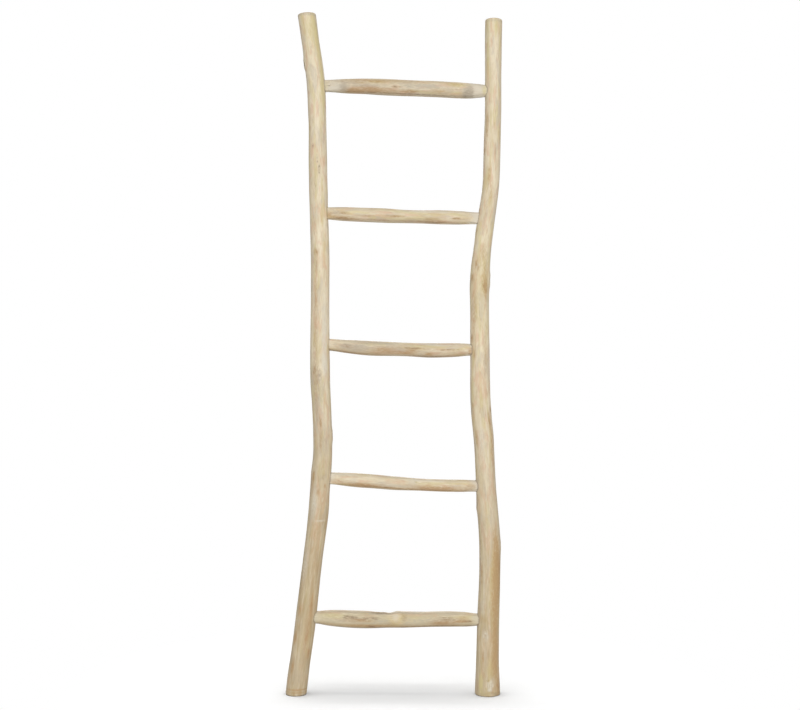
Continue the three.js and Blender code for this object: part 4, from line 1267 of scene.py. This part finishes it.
class StageSettings(bpy.types.PropertyGroup):
    """The camera, the lamps, the floor and the white around the ladder."""

    distance: decimal("Distance", "Camera to ladder", 2.75, unit="LENGTH")
    camera_height: decimal("Height", "Camera above the floor", 0.748, unit="LENGTH")
    camera_x: decimal("Sideways", "Camera right of the middle", 0.0137, unit="LENGTH")
    focal: decimal("Focal length", "Focal length in photograph pixels", 1245.7)
    photo_width: whole("Photo width", "Width of the photograph", 800)
    sensor: decimal("Sensor", "Sensor width in millimetres", 36.0)
    surround: decimal("Surround", "Strength of the white surround", 0.4, min=0)
    front_power: decimal("Front lamp", "Power of the front softbox", 124.0, unit="POWER")
    back_power: decimal("Back lamp", "Power of the back softbox", 70.0, unit="POWER")
    floor_power: decimal("Floor lamp", "Power of the lamps over the floor", 197.0, unit="POWER")
    floor_colour: FloatVectorProperty(
        name="Floor", description="Floor colour", default=(0.26, 0.26, 0.26), size=3, subtype="COLOR"
    )
    floor_seen: decimal("Floor seen", "Floor brightness to the camera", 0.37, min=0)
    floor_glow: decimal("Floor glow", "White added to the floor seen", 0.0, min=0)
    shadow_reach: decimal("Shadow reach", "Where plain white starts", 0.75, unit="LENGTH")


class LADDER_OT_stage(bpy.types.Operator):
    """Adds the floor, the lamps, the white surround and the camera."""

    bl_idname = "ladder.stage"
    bl_label = "Stage"

    def execute(self, context):
        settings = context.scene.ladder_stage
        corners = FLOOR_REACH * np.array([[-1, -1, 0], [1, -1, 0], [1, 1, 0], [-1, 1, 0]], float)
        floor = mesh_object("floor", corners, [np.array([[0, 1, 2, 3]])])
        floor.data.materials.append(floor_material(settings))
        white_world(settings)
        for name, shape, place, height, length, width, reach, power, share in LAMPS:
            lamp = softbox(name, shape, place, (0, 0, height), length, width)
            lamp.data.energy = share * getattr(settings, power)
            light_only(lamp, floor, reach)
        camera = bpy.data.cameras.new("photo_camera")
        camera.sensor_fit, camera.sensor_width = "HORIZONTAL", settings.sensor
        camera.lens = settings.focal / settings.photo_width * settings.sensor
        seen = bpy.data.objects.new("photo_camera", camera)
        seen.location = (settings.camera_x, -settings.distance, settings.camera_height)
        seen.rotation_euler = (math.pi / 2, 0, 0)
        context.scene.collection.objects.link(seen)
        context.scene.camera = seen
        context.scene.view_settings.view_transform = "Standard"
        return {"FINISHED"}


class LADDER_OT_rails(bpy.types.Operator):
    """Adds the two rails, with the sockets of the rungs and the holes of the nails."""

    bl_idname = "ladder.rails"
    bl_label = "Rails"

    def execute(self, context):
        settings, colours = context.scene.ladder_branches, context.scene.ladder_wood
        rails, rungs, _ = read_branches()
        material = wood("rail_peeled_wood", colours, "foot_tone_and_shade")
        for end, rail in enumerate(rails):
            rail_piece(rail, rungs, end, settings, material)
        return {"FINISHED"}


class LADDER_OT_rungs(bpy.types.Operator):
    """Adds the rungs, each whittled at both ends."""

    bl_idname = "ladder.rungs"
    bl_label = "Rungs"

    def execute(self, context):
        settings, colours = context.scene.ladder_branches, context.scene.ladder_wood
        rails, rungs, seats = read_branches()
        material = wood("rung_peeled_wood", colours, "skin")
        for rung, pair in zip(rungs, seats):
            rung_piece(rung, rails, pair, settings, material)
        return {"FINISHED"}


class LADDER_OT_nails(bpy.types.Operator):
    """Adds the nails, one through each tenon from behind."""

    bl_idname = "ladder.nails"
    bl_label = "Nails"

    def execute(self, context):
        material = nail_metal("nail_dull_steel", context.scene.ladder_wood)
        for number in range(1, RUNG_COUNT + 1):
            for side in SIDES:
                nail_piece(f"nail_{number}_{side}", material)
        return {"FINISHED"}


class LADDER_PT_panel(bpy.types.Panel):
    """Lists the steps that build the ladder."""

    bl_label = "Towel ladder"
    bl_idname = "LADDER_PT_panel"
    bl_space_type = "VIEW_3D"
    bl_region_type = "UI"
    bl_category = "Ladder"

    def draw(self, context):
        for step in OPERATORS:
            self.layout.operator(step.bl_idname)


GROUPS = {"ladder_branches": BranchSettings, "ladder_wood": WoodSettings, "ladder_stage": StageSettings}
OPERATORS = (LADDER_OT_stage, LADDER_OT_rails, LADDER_OT_rungs, LADDER_OT_nails)


def register():
    """Makes the settings, the operators and the panel known."""
    for name, group in GROUPS.items():
        bpy.utils.register_class(group)
        setattr(bpy.types.Scene, name, PointerProperty(type=group))
    for operator in OPERATORS:
        bpy.utils.register_class(operator)
    bpy.utils.register_class(LADDER_PT_panel)


def unregister():
    """Takes them away again."""
    bpy.utils.unregister_class(LADDER_PT_panel)
    for operator in reversed(OPERATORS):
        bpy.utils.unregister_class(operator)
    for name, group in GROUPS.items():
        delattr(bpy.types.Scene, name)
        bpy.utils.unregister_class(group)


def main():
    """Builds the ladder."""
    register()
    bpy.ops.ladder.stage()
    bpy.ops.ladder.rails()
    bpy.ops.ladder.rungs()
    bpy.ops.ladder.nails()


if __name__ == "__main__":
    main()
